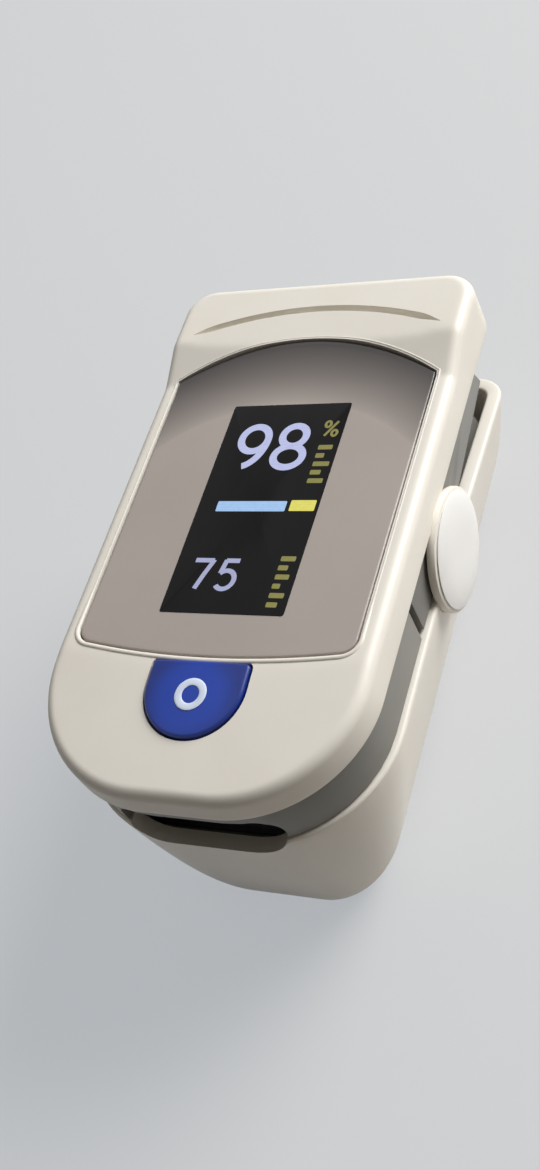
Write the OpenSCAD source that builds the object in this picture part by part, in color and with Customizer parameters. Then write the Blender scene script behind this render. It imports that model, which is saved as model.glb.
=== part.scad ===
// Fingertip pulse oximeter: two sprung jaws on a cross hinge, with a lit display,
// a half-moon power button and two AAA cells in the lower jaw.
// X is to the right seen from the finger end, Y runs to the squeeze end and Z is up.

/* [Body] */
// Length over the upper jaw
body_len = 58; // [58:0.5:62]
// Width of the white shells
body_w = 32; // [31.5:0.5:35]
// Height of the display plane above the base
top_z = 29; // [28.8:0.1:31]
// Plan radius of the corners at the finger end
front_r = 12.5; // [11:0.5:13.5]
// Plan radius of the corners at the squeeze end
rear_r = 3.2; // [2.5:0.1:4]
// Wall of the white shells
shell_t = 1.4; // [1.2:0.05:1.5]
// Rounding of the upper shell's top edge
edge_r = 1.6; // [1:0.1:2]

/* [Upper jaw] */
// Height of the white wall below the display plane
wall_h = 3.3; // [3.1:0.1:3.8]
// Height of the grey band below the white wall
band_h = 6.4; // [6:0.1:6.7]
// Step from the white wall in to the grey band
band_in = 0.6; // [0.4:0.1:0.8]
// Wall of the grey band
band_t = 1.5; // [1.2:0.1:1.8]
// Thickness of the upper shell's roof
roof_t = 1.8; // [1.6:0.05:2]
// Fall of the button deck towards the finger end
deck_fall = 1; // [0.6:0.1:1.3]
// Height of the raised rear bar above the display plane
bar_h = 1.4; // [0.8:0.1:1.8]
// Length of the raised rear bar
bar_len = 7.8; // [7:0.1:8.4]
// Length of the shoulder that ramps up to the rear bar
shoulder_len = 4.6; // [3:0.1:5]
// Width of the arched thumb groove
groove_w = 0.8; // [0.5:0.1:1.2]
// Depth of the arched thumb groove
groove_d = 0.6; // [0.3:0.1:0.9]
// Rise of the thumb groove's arch
groove_rise = 2.6; // [2:0.1:3]

/* [Display] */
// Width of the white rim beside the display panel
rim_w = 2; // [1.75:0.05:3]
// Distance from the finger end to the panel's straight sides
nose_len = 14.8; // [14:0.1:15.8]
// Rise of the panel's arched rear end
panel_arch = 4; // [3:0.1:4.3]
// Bulge of the panel's finger-end edge
panel_bow = 1.2; // [0.6:0.1:1.5]
// Thickness of the panel
panel_t = 1; // [0.9:0.05:1.1]
// Width of the screen window
screen_w = 12.7; // [11:0.1:14]
// Length of the screen window
screen_len = 24.5; // [22:0.1:26]
// Distance from the body's middle to the screen's middle
screen_y = 1.3; // [1:0.1:1.6]
// Thickness of the screen module
oled_t = 1.4; // [1.2:0.05:1.5]

/* [Button] */
// Width of the half-moon button
button_w = 9.8; // [8:0.1:10.5]
// Length of the half-moon button
button_len = 7.4; // [6.6:0.1:7.8]
// Height of the button above the deck
button_proud = 0.4; // [0.2:0.05:0.6]
// Travel of the button
button_travel = 0.5; // [0.3:0.05:0.55]
// Running gap round the button
button_gap = 0.2; // [0.1:0.05:0.3]

/* [Hinge] */
// Distance of the hinge axis behind the body's middle
pivot_y = 3.3; // [2.8:0.1:4]
// Radius of the hinge ears
ear_r = 6; // [5.6:0.1:6.3]
// Thickness of a hinge ear
ear_t = 0.9; // [0.8:0.05:1.2]
// Side gap between ear and hinge bracket
ear_gap = 0.25; // [0.2:0.05:0.4]
// Radius of the round caps over the ears
cap_r = 5.6; // [5:0.1:5.6]
// Thickness of the caps
cap_t = 0.6; // [0.5:0.05:0.9]
// Radius of the hinge pins
pin_r = 1.3; // [1.1:0.05:1.5]
// Running clearance of the pins
pin_clear = 0.05; // [0.02:0.01:0.08]
// Radius of the bracket lugs round the pins
lug_r = 3.6; // [3:0.1:3.8]
// Wire of the torsion springs
spring_wire = 0.7; // [0.5:0.05:0.8]
// Turns of a torsion spring
spring_turns = 4; // [3:1:4]
// Slope of the upper jaw's cheeks behind the hinge
gap_slope = 7; // [6.8:0.1:7.4]
// Slope of the lower jaw's rim behind the hinge
rim_slope = 8.4; // [8.2:0.1:8.8]

/* [Finger bay] */
// Width between the side ribs
bay_w = 16.4; // [15:0.1:17]
// Thickness of the side ribs
rib_t = 1; // [0.8:0.1:1.2]
// Thickness of the rubber finger pads
pad_t = 1; // [0.8:0.05:1.2]
// Thickness of the two frame plates
plate_t = 1.1; // [1:0.05:1.2]
// Distance of the light path in front of the hinge axis
light_y = 16.5; // [14:0.1:18]
// Side length of the light windows
window_w = 5; // [4.6:0.1:6]

/* [Power] */
// Diameter of a cell
cell_d = 10.5; // [10.2:0.05:10.6]
// Length of a cell with its nub
cell_len = 44.5; // [44:0.1:44.8]
// Free space at each end of the cells
contact_room = 1.5; // [1.3:0.1:1.6]
// Height of the battery cover's side
cover_h = 4.4; // [4:0.1:4.8]
// Floor thickness of the battery cover
cover_t = 1.5; // [1.3:0.05:1.6]
// Slide travel of the battery cover
cover_travel = 9; // [6:0.5:9]

/* [Mounts] */
// Radius of the lanyard hole
lanyard_r = 1.2; // [1:0.05:1.3]

/* [Hidden] */
$fn = 48;

// Shared small values
far = 100;
over = 1;
skin = 0.01;
fit = 0.15;
arc_steps = 10;
half_w = body_w / 2;
front_y = -body_len / 2;
rear_y = body_len / 2;

// Levels of the upper jaw, from the display plane down
seam_z = top_z - wall_h;
part_z = seam_z - band_h;
band_gap = 0.2;
roof_z = top_z - roof_t;
ledge_z = top_z - panel_t;
film_t = 0.2;
foam_t = 0.3;
oled_z = ledge_z - film_t - oled_t;
board_t = 0.8;
board_z = oled_z - foam_t - board_t;
board_top = board_z + board_t;
standoff = 0.5;
ceiling_top = board_z - standoff;
ceiling_z = ceiling_top - plate_t;
upper_pad_z = ceiling_z - pad_t;

// Levels of the lower jaw, from the base up
cell_gap = 0.3;
cell_r = cell_d / 2;
cell_z = cover_t + cell_gap + cell_r;
cell_x = cell_r + fit;
floor_z = cell_z + cell_r + cell_gap;
floor_top = floor_z + plate_t;
lower_pad_top = floor_top + pad_t;

// Hinge
ear_clear = 0.3;
pivot_z = seam_z - ear_clear - ear_r;
bracket_x = half_w - band_in;
ear_in = bracket_x + ear_gap;
ear_out = ear_in + ear_t;
cheek_t = 2.5;
cheek_in = bracket_x - cheek_t;
lug_gap = 0.5;
rim_drop = 0.26;
rim_lift = part_z - rim_drop - pivot_z;
slit_lead = 9.3;
slit_y = pivot_y - slit_lead;
slit_w = 1;
slit_lean = 0.3;
cheek_reach = 18.9;
cheek_end = pivot_y + cheek_reach;
cheek_lean = 1.5;
plate_reach = 13.3;
plate_end = pivot_y + plate_reach;
spring_room = 0.3;
spring_x = cheek_in - spring_room - spring_wire / 2;
turn_gap = 0.02;
spring_pitch = spring_wire + turn_gap;
spring_loose = 0.65;
spring_r = pin_r + spring_loose + spring_wire / 2;
pin_in = spring_x - spring_turns * spring_pitch - spring_wire;

// Lower hull: half width, finger end, squeeze end and corner radius at a height
keel_r = 5;
bilge_exp = 0.5;
bow_rake_most = 3.6;
bow_exp = 0.7;
stern_rake = 2;
stern_exp = 0.25;
jaw_in = 0.3;
hull_steps = 9;
hull_spread = 1.8;
slope_share = 1.1;
hull_inset = shell_t * slope_share;
hull_gap = 0.5;
contact_t = 0.3;
contact_w = 2.6;
contact_foot = cell_z - contact_w;
contact_top = cell_z + contact_w;
contact_x = cell_x + contact_w;
corner_inset = 0.8;
hull_corner_least = 0.8;
shell_corner_least = 0.5;
cell_rise = pow(cell_z / part_z, bilge_exp);
keel_hw = (cell_x + cell_r + hull_gap + hull_inset - half_w * cell_rise) / (1 - cell_rise);
bow_room = body_len - 2 * (jaw_in + hull_inset + hull_gap + contact_room) - cell_len
  - stern_rake * (1 - pow(contact_foot / part_z, stern_exp));
bow_rake = min(bow_rake_most, bow_limit(contact_foot), bow_limit(contact_top));
function lower_half_w(z) = keel_hw + (half_w - keel_hw) * pow(z / part_z, bilge_exp);
function lower_front(z) = front_y + jaw_in + bow_rake * (1 - pow(z / part_z, bow_exp));
function lower_rear(z) = rear_y - jaw_in - stern_rake * (1 - pow(z / part_z, stern_exp));
function lower_r(z) = keel_r + (front_r - keel_r) * z / part_z;
function inner_r(z, inset) = lower_r(z) - inset * corner_inset;

// Rake at which the hull's round corner still clears the contact plates' outer edges at a height
function corner_rise(z) =
  let (r = inner_r(z, hull_inset), reach = contact_x - (lower_half_w(z) - hull_inset - r))
    r - sqrt(r * r - pow(min(max(reach, 0), r), 2));
function bow_limit(z) = (bow_room - corner_rise(z)) / (1 - pow(z / part_z, bow_exp));

// Cells lie at the squeeze end of the hull, measured at the foot of the contact plates
cell_y1 = lower_rear(contact_foot) - hull_inset - hull_gap - contact_room;
cell_y0 = cell_y1 - cell_len;
plate_y0 = cell_y0 - contact_room;
plate_y1 = cell_y1 + contact_room;

// Points of an arc, and of a plan with round corners at both ends
function arc(c, r, a0, a1, n = arc_steps) =
  [for (i = [0 : n]) let (a = a0 + (a1 - a0) * i / n) c + r * [cos(a), sin(a)]];
function plan(hw, yf, yr, rf, rr) = concat(
  arc([hw - rf, yf + rf], rf, -90, 0),
  arc([hw - rr, yr - rr], rr, 0, 90),
  arc([rr - hw, yr - rr], rr, 90, 180),
  arc([rf - hw, yf + rf], rf, 180, 270));
function body_plan(inset) =
  plan(half_w - inset, front_y + inset, rear_y - inset, front_r - inset,
       max(rear_r - inset, shell_corner_least));
function lower_plan(z, inset) =
  plan(lower_half_w(z) - inset, lower_front(z) + inset, lower_rear(z) - inset,
       inner_r(z, inset), max(rear_r - inset, hull_corner_least));

// Display panel: straight sides, an arched end, a bowed end and two round corners
bar_y = rear_y - bar_len;
panel_w = body_w - 2 * rim_w;
panel_back = 0.2;
panel_y1 = bar_y - panel_back - panel_arch;
panel_y0 = front_y + nose_len;
panel_corner = 1.5;
function sagitta_r(half_chord, rise) = (half_chord * half_chord + rise * rise) / (2 * rise);
arch_r = sagitta_r(panel_w / 2, panel_arch);
arch_y = panel_y1 + panel_arch - arch_r;
bow_r = sagitta_r(panel_w / 2, panel_bow);
bow_y = panel_y0 - panel_bow + bow_r;
corner_x = panel_w / 2 - panel_corner;
corner_y = bow_y - sqrt(pow(bow_r - panel_corner, 2) - pow(corner_x, 2));
corner_turn = asin(corner_x / (bow_r - panel_corner));
edge_steps = 24;
function arch_turn(grow) = acos((panel_w / 2 + grow) / (arch_r + grow));
function panel_plan(grow) = concat(
  arc([0, bow_y], bow_r + grow, -90 - corner_turn, -90 + corner_turn, edge_steps),
  arc([corner_x, corner_y], panel_corner + grow, -85 + corner_turn, 0),
  arc([0, arch_y], arch_r + grow, arch_turn(grow), 180 - arch_turn(grow), edge_steps),
  arc([-corner_x, corner_y], panel_corner + grow, 180, 265 - corner_turn));

// Button deck and button
deck_y = panel_y0 - panel_bow;
deck_len = deck_y - front_y - edge_r;
deck_angle = atan(deck_fall / deck_len);
deck_corner = 2;
wall_top = top_z - deck_fall - edge_r;
button_set = 0.6;
button_y1 = deck_y - button_set;
button_r = button_w / 2;
button_y = button_y1 - button_len + button_r;
flange_t = 0.35;
flange_w = 0.7;
flange_gap = 0.1;
flange_z = roof_z - flange_gap - flange_t;
switch_w = 4.4;
switch_h = 0.9;
switch_floor = 0.1;
switch_room = 0.4;
plunger_r = 1;
plunger_clear = 0.08;
plunger_gap = 0.05;
plunger_z = board_top + switch_floor + button_travel + plunger_gap;
pocket_z = board_top + switch_h + button_travel + switch_room;
symbol_r = 1.55;
symbol_w = 0.5;
symbol_h = 0.08;
symbol_set = 0.9;

// Raised bar and groove
bar_in = 0.2;
bar_edge = 0.5;
bar_top_in = 0.9;
groove_in = 2.5;
groove_set = 1.2;
groove_half = half_w - groove_in;
groove_r = sagitta_r(groove_half, groove_rise);
groove_y = bar_y + groove_set + groove_rise - groove_r;
groove_fn = 180;

// Screws: shank and head, and the two places along the body in each jaw
screw_r = 0.7;
screw_head_r = 1.4;
screw_head_h = 0.7;
screw_clear = 0.15;
screw_cover = 0.4;
boss_r = 1.7;
boss_clear = 0.3;
screw_x = bay_w / 2 + rib_t + screw_head_r + fit;
upper_screw_in = 2;
upper_screw_back = 10.5;
upper_screw_y = [panel_y0 + upper_screw_in, pivot_y + upper_screw_back];
lower_screw_in = 6;
lower_screw_back = 11;
lower_screw_y = [cell_y0 + lower_screw_in, pivot_y + lower_screw_back];
lower_boss_h = 1.6;
lower_boss_floor = 0.2;

// Board, and the screen parts' margins round the screen
board_gap = 0.3;
board_hw = cheek_in - board_gap;
board_set = 4;
board_y0 = front_y + board_set;
board_over = 0.4;
board_y1 = plate_end + board_over;
board_r = front_r - board_set;
board_rear_r = 1;
post_r = 1;
post_x = 7;
post_set = [5, 2];
post_y = [board_y0 + post_set[0], pivot_y + post_set[1]];
window_gap = 0.05;
oled_edge = 1;
oled_gap = 0.6;
opening_edge = oled_edge + oled_gap;
gasket_lap = 0.6;

// Light path and the flat cable's slot
path_y = pivot_y - light_y;
lamp_half = 1.7;
lamp_gap = 0.3;
lamp_board_half = 3.4;
lamp_board_t = 0.4;
detector_half = 2;
flex_w = 5;
flex_t = 0.25;
flex_back = 5;
flex_y = pivot_y + flex_back;
flex_slack = 1.6;
flex_room = 0.7;
pad_set = 1.4;
rib_set = 0.5;
pad_y0 = lower_front(floor_top) + hull_inset + pad_set;
stop_lead = 3.9;
stop_y = pivot_y - stop_lead;
stop_t = 1.2;
stop_drop = 0.8;
stop_top = part_z - stop_drop;
rib_y0 = pad_y0 + rib_set;
rib_back = 4;

// Colours
white_c = [0.9, 0.88, 0.84];
grey_c = [0.45, 0.45, 0.44];
rubber_c = [0.28, 0.28, 0.29];
steel_c = [0.75, 0.75, 0.77];
board_c = [0.1, 0.35, 0.2];

module slice(z, points) {
  translate([0, 0, z])
    linear_extrude(skin)
      polygon(points);
}

module slab(z0, z1, points) {
  translate([0, 0, z0])
    linear_extrude(z1 - z0)
      polygon(points);
}

module block(x0, x1, y0, y1, z0, z1) {
  translate([x0, y0, z0])
    cube([x1 - x0, y1 - y0, z1 - z0]);
}

// A block across the body's middle
module mid_block(hw, y0, y1, z0, z1) {
  block(-hw, hw, y0, y1, z0, z1);
}

// A cylinder along X at the hinge axis
module axle(r, x0, x1) {
  translate([x0, pivot_y, pivot_z])
    rotate([0, 90, 0])
      cylinder(r = r, h = x1 - x0);
}

// A side view in Y and Z, extruded along X
module side(x0, x1, points) {
  translate([x0, 0, 0])
    rotate([90, 0, 90])
      linear_extrude(x1 - x0)
        polygon(points);
}

module both_sides() {
  children();
  mirror([1, 0, 0]) children();
}

// Places on both sides given by one X and a list of Y values
module places(x, ys) {
  for (s = [-1, 1], y = ys)
    translate([s * x, y, 0])
      children();
}

// A block round the screen's outline
module screen_block(grow, z0, z1) {
  half_len = screen_len / 2 + grow;
  mid_block(screen_w / 2 + grow, screen_y - half_len, screen_y + half_len, z0, z1);
}

// A square block on the light path
module path_block(half, z0, z1) {
  mid_block(half, path_y - half, path_y + half, z0, z1);
}

module button_plan(grow) {
  intersection() {
    union() {
      translate([0, button_y])
        circle(r = button_r + grow);
      translate([-button_r - grow, button_y])
        square([2 * (button_r + grow), button_len]);
    }
    translate([-body_w / 2, front_y])
      square([body_w, button_y1 + grow - front_y]);
  }
}

// Space above the sloped button deck, raised by lift
module above_deck(lift) {
  translate([0, deck_y, top_z + lift])
    rotate([deck_angle, 0, 0])
      translate([-far / 2, -far, 0])
        cube([far, 2 * far, far]);
}

// Outer form of the upper shell: rounded top edge and a deck that falls to the finger end
edge_mid = edge_r * 0.3;
module upper_form() {
  slab(seam_z, wall_top + skin, body_plan(0));
  hull() {
    slice(wall_top, body_plan(0));
    slice(top_z - deck_fall - edge_mid, body_plan(edge_mid));
    slice(top_z - deck_fall - skin, body_plan(edge_r));
    slice(top_z - edge_mid - skin,
          plan(half_w - edge_mid, deck_y, rear_y - edge_mid, deck_corner, rear_r));
    slice(top_z - skin, plan(half_w - edge_r, deck_y, rear_y - edge_r, deck_corner, rear_r));
  }
}

// Raised rear bar with the shoulder that ramps up to it
shoulder_corner = 1;
module rear_bar() {
  hull() {
    slice(top_z - edge_r,
          plan(half_w - bar_in, bar_y - shoulder_len, rear_y - bar_in, shoulder_corner, rear_r));
    slice(top_z + bar_h - bar_edge, plan(half_w - bar_in, bar_y, rear_y - 2 * bar_in, bar_edge, rear_r));
    slice(top_z + bar_h - skin,
          plan(half_w - bar_top_in, bar_y + bar_edge, rear_y - bar_top_in - bar_in, bar_edge, rear_r));
  }
}

module thumb_groove() {
  translate([0, groove_y, top_z + bar_h - groove_d])
    difference() {
      cylinder(r = groove_r + groove_w / 2, h = far, $fn = groove_fn);
      translate([0, 0, -over])
        cylinder(r = groove_r - groove_w / 2, h = far + 2 * over, $fn = groove_fn);
      translate([-far / 2, -far, -over])
        cube([far, far + groove_r - groove_rise, far]);
    }
}

// Space in the upper shell over the frame, with its rear end open below
module upper_hollow() {
  slab(seam_z - over, roof_z, body_plan(shell_t));
}

module upper_shell() {
  color(white_c)
    difference() {
      union() {
        difference() {
          union() {
            upper_form();
            rear_bar();
          }
          upper_hollow();
        }
        places(screw_x, upper_screw_y)
          translate([0, 0, ceiling_top])
            cylinder(r = boss_r, h = roof_z - ceiling_top + skin);
      }
      slab(ledge_z, far, panel_plan(fit));
      screen_block(opening_edge, roof_z - over, far);
      translate([0, 0, roof_z - over])
        linear_extrude(far)
          button_plan(button_gap);
      thumb_groove();
      places(screw_x, upper_screw_y)
        translate([0, 0, ceiling_top - over])
          cylinder(r = screw_r, h = roof_z - ceiling_top + over - screw_cover);
    }
}

module display_panel() {
  color([0.62, 0.59, 0.57])
    difference() {
      slab(ledge_z, top_z, panel_plan(0));
      screen_block(window_gap, ledge_z - over, far);
    }
}

module display_window() {
  color([0.05, 0.05, 0.06])
    screen_block(0, ledge_z, top_z);
}

module display_gasket() {
  color(rubber_c)
    difference() {
      screen_block(oled_edge, ledge_z - film_t, ledge_z);
      screen_block(-gasket_lap, ledge_z - over, far);
    }
}

module oled_module() {
  color([0.15, 0.16, 0.2])
    screen_block(oled_edge, board_top, ledge_z - film_t);
}

module main_board() {
  color(board_c)
    difference() {
      slab(board_z, board_top, plan(board_hw, board_y0, board_y1, board_r, board_rear_r));
      places(screw_x, upper_screw_y)
        translate([0, 0, board_z - over])
          cylinder(r = boss_r + boss_clear, h = board_t + 2 * over);
      for (y = upper_screw_y)
        both_sides()
          block(screw_x, half_w, y - boss_r - boss_clear, y + boss_r + boss_clear,
                board_z - over, board_top + over);
    }
}

// Chip bodies on the board, beside the screen module: side, distance behind the screw and side lengths
chip_h = 0.9;
chip_x = (screen_w / 2 + oled_edge + board_hw) / 2;
chip_y = upper_screw_y[0] + boss_r + boss_clear;
chips = [[1, 0.4, 3.8, 5.2], [-1, 0.8, 3.6, 4.2], [1, 8, 3, 4], [-1, 7, 3.4, 5]];
module board_chips() {
  color([0.12, 0.12, 0.13])
    for (c = chips)
      translate([c[0] * chip_x - c[2] / 2, chip_y + c[1], board_top])
        cube([c[2], c[3], chip_h]);
}

module tact_switch() {
  color([0.8, 0.8, 0.78])
    translate([0, button_y, board_top])
      difference() {
        translate([-switch_w / 2, -switch_w / 2, 0])
          cube([switch_w, switch_w, switch_h]);
        translate([0, 0, switch_floor])
          cylinder(r = plunger_r + plunger_clear, h = far);
      }
}

module switch_plunger() {
  color([0.2, 0.2, 0.2])
    translate([0, button_y, plunger_z])
      cylinder(r = plunger_r, h = pocket_z - plunger_z);
}

module power_button() {
  color([0.1, 0.25, 0.65])
    difference() {
      union() {
        translate([0, 0, flange_z])
          linear_extrude(far)
            button_plan(0);
        translate([0, 0, flange_z])
          linear_extrude(flange_t)
            button_plan(flange_w);
      }
      above_deck(button_proud);
      translate([0, button_y, 0])
        mid_block(switch_w / 2 + switch_room, -switch_w / 2 - switch_room, switch_w / 2 + switch_room,
                  flange_z - over, pocket_z);
    }
}

// Ring mark, a thin inlay on the sloped button face
module button_symbol() {
  color([0.85, 0.9, 0.98])
    translate([0, deck_y, top_z + button_proud])
      rotate([deck_angle, 0, 0])
        translate([0, (button_y - symbol_set - deck_y) / cos(deck_angle), 0])
          difference() {
            cylinder(r = symbol_r, h = symbol_h);
            translate([0, 0, -over])
              cylinder(r = symbol_r - symbol_w, h = symbol_h + 2 * over);
          }
}

// Slanted dark slit between the grey band's two halves: Y on the line at height z
function slit(z, offset) = slit_y + offset - slit_lean * (seam_z - z) / band_h;

module front_band_space(offset) {
  side(-far / 2, far / 2, [
    [front_y - over, 0],
    [slit(part_z, offset), 0],
    [slit(part_z, offset), part_z],
    [slit(seam_z, offset), seam_z],
    [slit(seam_z, offset), top_z],
    [front_y - over, top_z]]);
}

function band_plan(inset) = body_plan(band_in + inset);

// Mouth of the finger bay, mostly in the grey band: a slot with round ends
mouth_r = 2.7;
mouth_rise = 1.1;
mouth_z = part_z + mouth_rise;
mouth_x = bay_w / 2 - mouth_r;
mouth_len = 8;
module mouth() {
  for (s = [-1, 1])
    translate([s * mouth_x, front_y - over, mouth_z])
      rotate([-90, 0, 0])
        cylinder(r = mouth_r, h = mouth_len);
  mid_block(mouth_x, front_y - over, front_y - over + mouth_len, mouth_z - mouth_r, mouth_z + mouth_r);
}

// Slot of the flat cable through the ceiling plate
module flex_slot() {
  mid_block(flex_w / 2 + flex_room, flex_y - flex_room - flex_t, flex_y + flex_room - flex_t, 0, far);
}

module upper_frame() {
  color(grey_c)
    difference() {
      union() {
        intersection() {
          difference() {
            slab(part_z + band_gap, seam_z, band_plan(0));
            slab(0, far, band_plan(band_t));
          }
          front_band_space(-slit_w / 2);
        }
        intersection() {
          slab(ceiling_z, ceiling_top, band_plan(band_t - skin));
          union() {
            front_band_space(-slit_w / 2);
            mid_block(cheek_in - fit, front_y, plate_end, 0, far);
          }
        }
        both_sides()
          block(bay_w / 2, bay_w / 2 + rib_t, rib_y0, slit_y + rib_back,
                part_z + band_gap, ceiling_z + skin);
        places(post_x, post_y)
          translate([0, 0, ceiling_top - skin])
            cylinder(r = post_r, h = standoff + skin);
      }
      mouth();
      places(screw_x, upper_screw_y)
        cylinder(r = screw_r + screw_clear, h = far);
      path_block(lamp_half + lamp_gap, 0, far);
      flex_slot();
    }
}

// Rear half of the grey band: two cheeks with hinge lugs, tied by a cross plate. The cheeks
// make way for the screw heads below the plate.
bracket_set = 1.2;
bracket_y0 = flex_y + bracket_set;
module hinge_bracket() {
  cheek = [
    [slit(seam_z, slit_w / 2), seam_z],
    [slit(part_z, slit_w / 2), part_z + band_gap],
    [pivot_y, part_z + band_gap],
    [cheek_end, part_z + band_gap + cheek_reach * tan(gap_slope)],
    [cheek_end - cheek_lean, seam_z]];
  color(grey_c)
    difference() {
      union() {
        both_sides()
          difference() {
            union() {
              side(cheek_in, bracket_x, cheek);
              axle(lug_r, cheek_in, bracket_x);
            }
            translate([screw_x, upper_screw_y[1], 0])
              cylinder(r = screw_head_r + screw_clear, h = ceiling_z - plate_t);
          }
        mid_block(cheek_in + skin, bracket_y0, plate_end, ceiling_z - plate_t, ceiling_z);
      }
      axle(pin_r + pin_clear, -far / 2, far / 2);
      places(screw_x, upper_screw_y)
        cylinder(r = screw_r + screw_clear, h = far);
    }
}

pad_gap = 0.2;
module pad_plate(z0, z1) {
  difference() {
    mid_block(bay_w / 2 - pad_gap, pad_y0, stop_y - pad_gap, z0, z1);
    path_block(window_w / 2 + window_gap, 0, far);
  }
}

module upper_pad() {
  color(rubber_c)
    pad_plate(upper_pad_z, ceiling_z);
}

module lower_pad() {
  color(rubber_c)
    pad_plate(floor_top, lower_pad_top);
}

module emitter_window() {
  color([0.75, 0.2, 0.2])
    path_block(window_w / 2, upper_pad_z, ceiling_z);
}

module emitter_led() {
  color([0.95, 0.95, 0.9])
    path_block(lamp_half, ceiling_z, ceiling_top);
}

module emitter_board() {
  color(board_c)
    path_block(lamp_board_half, ceiling_top, ceiling_top + lamp_board_t);
}

module detector_window() {
  color([0.25, 0.08, 0.1])
    path_block(window_w / 2, floor_top, lower_pad_top);
}

module photodiode() {
  color([0.2, 0.2, 0.25])
    path_block(lamp_half, floor_z, floor_top);
}

module detector_board() {
  color(board_c)
    mid_block(detector_half, path_y - lamp_board_half, path_y + lamp_board_half,
              floor_z - lamp_board_t, floor_z);
}

module screw(z_head, z_tip) {
  up = z_tip > z_head;
  translate([0, 0, min(z_head, z_tip)])
    cylinder(r = screw_r, h = abs(z_tip - z_head));
  translate([0, 0, up ? z_head - screw_head_h : z_head])
    cylinder(r = screw_head_r, h = screw_head_h);
}

module upper_screws() {
  color(steel_c) {
    places(screw_x, [upper_screw_y[0]])
      screw(ceiling_z, roof_z - screw_cover - fit);
    places(screw_x, [upper_screw_y[1]])
      screw(ceiling_z - plate_t, roof_z - screw_cover - fit);
  }
}

module lower_screws() {
  color(steel_c)
    places(screw_x, lower_screw_y)
      screw(floor_top, floor_z - lower_boss_h + lower_boss_floor);
}

// Lower hull between the base and the jaw line, as a stack of plans
module lower_hull(z0, inset) {
  hull()
    for (i = [0 : hull_steps])
      let (z = z0 + (part_z - skin - z0) * pow(i / hull_steps, hull_spread))
        slice(z, lower_plan(z, inset));
}

module inner_hull() {
  lower_hull(cover_t, hull_inset);
  slab(part_z - skin / 2, part_z + over, lower_plan(part_z - skin, hull_inset));
}

// Space above the lower jaw's rim behind the hinge, where the squeeze gap is
module squeeze_gap() {
  translate([-far / 2, pivot_y, pivot_z])
    rotate([-rim_slope, 0, 0])
      translate([0, 0, rim_lift])
        cube([far, far, far]);
}

// The battery cover's part of the hull, grown by a gap
cover_set = 4;
cover_y = cell_y0 + cover_set;
module cover_space(gap) {
  mid_block(half_w, cover_y - gap, rear_y, -over, cover_h + gap);
}

// Rails of the cover in the jaw's side walls: an upright with an outward lip
rail_t = 0.45;
rail_h = 1;
rail_lip = 0.35;
rail_share = 0.72;
rail_x = lower_half_w(cover_h) - hull_inset * rail_share;
rail_root = 0.3;
rail_set = 1;
rail_y = cover_y + rail_set;
rail_len = 26;
module rail(gap, length) {
  both_sides() {
    block(rail_x - gap, rail_x + rail_t + gap, rail_y - gap, rail_y + length + gap,
          cover_h - rail_root, cover_h + rail_h + gap);
    block(rail_x, rail_x + rail_t + rail_lip + gap, rail_y - gap, rail_y + length + gap,
          cover_h + rail_h / 2 - gap, cover_h + rail_h + gap);
  }
}

// Seats behind the contact plates, grown from the jaw's end walls
seat_hw = 6;
seat_drop = 1;
seat_z = cell_z - seat_drop;
module plate_seats() {
  mid_block(seat_hw, lower_front(cell_z) + shell_t / 2, plate_y0, seat_z, contact_top);
  mid_block(seat_hw, plate_y1, lower_rear(cell_z) - shell_t / 2, seat_z, contact_top);
}

lanyard_x = 9;
lanyard_edge = 0.7;
rim_rear = pivot_z + rim_lift / cos(rim_slope) - (rear_y - jaw_in - pivot_y) * tan(rim_slope);
lanyard_z = rim_rear - lanyard_edge - lanyard_r;
lanyard_len = 8;
module lower_shell() {
  color(white_c)
    difference() {
      union() {
        difference() {
          lower_hull(0, 0);
          inner_hull();
          squeeze_gap();
        }
        intersection() {
          both_sides()
            axle(ear_r, lower_half_w(floor_z) - hull_inset, ear_in + skin);
          difference() {
            mid_block(far, front_y, rear_y, 0, part_z);
            squeeze_gap();
          }
        }
        both_sides()
          axle(ear_r, ear_in, ear_out);
        places(screw_x, lower_screw_y)
          translate([0, 0, floor_z - lower_boss_h])
            cylinder(r = boss_r, h = lower_boss_h);
        for (y = lower_screw_y)
          both_sides()
            block(screw_x, lower_half_w(floor_z - lower_boss_h) - shell_t / 2,
                  y - boss_r / 2, y + boss_r / 2, floor_z - lower_boss_h, floor_z);
        plate_seats();
      }
      both_sides() {
        axle(lug_r + lug_gap, 0, ear_in);
        axle(pin_r, 0, far);
      }
      cover_space(fit);
      rail(fit, rail_len + cover_travel);
      mouth();
      places(screw_x, lower_screw_y)
        translate([0, 0, floor_z - lower_boss_h + lower_boss_floor])
          cylinder(r = screw_r, h = far);
      translate([lanyard_x, rear_y - lanyard_len, lanyard_z])
        rotate([-90, 0, 0])
          cylinder(r = lanyard_r, h = far);
    }
}

// Battery cover, with finger grooves across it
grip_w = 9;
grip_r = 0.45;
grip_count = 3;
grip_pitch = 1.6;
grip_set = 3;
grip_y = cover_y + grip_set;
module battery_cover() {
  color(white_c)
    difference() {
      union() {
        intersection() {
          difference() {
            lower_hull(0, 0);
            inner_hull();
          }
          cover_space(0);
        }
        rail(0, rail_len);
      }
      for (i = [0 : grip_count - 1])
        translate([-grip_w / 2, grip_y + grip_pitch * i, 0])
          rotate([0, 90, 0])
            cylinder(r = grip_r, h = grip_w);
    }
}

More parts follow.
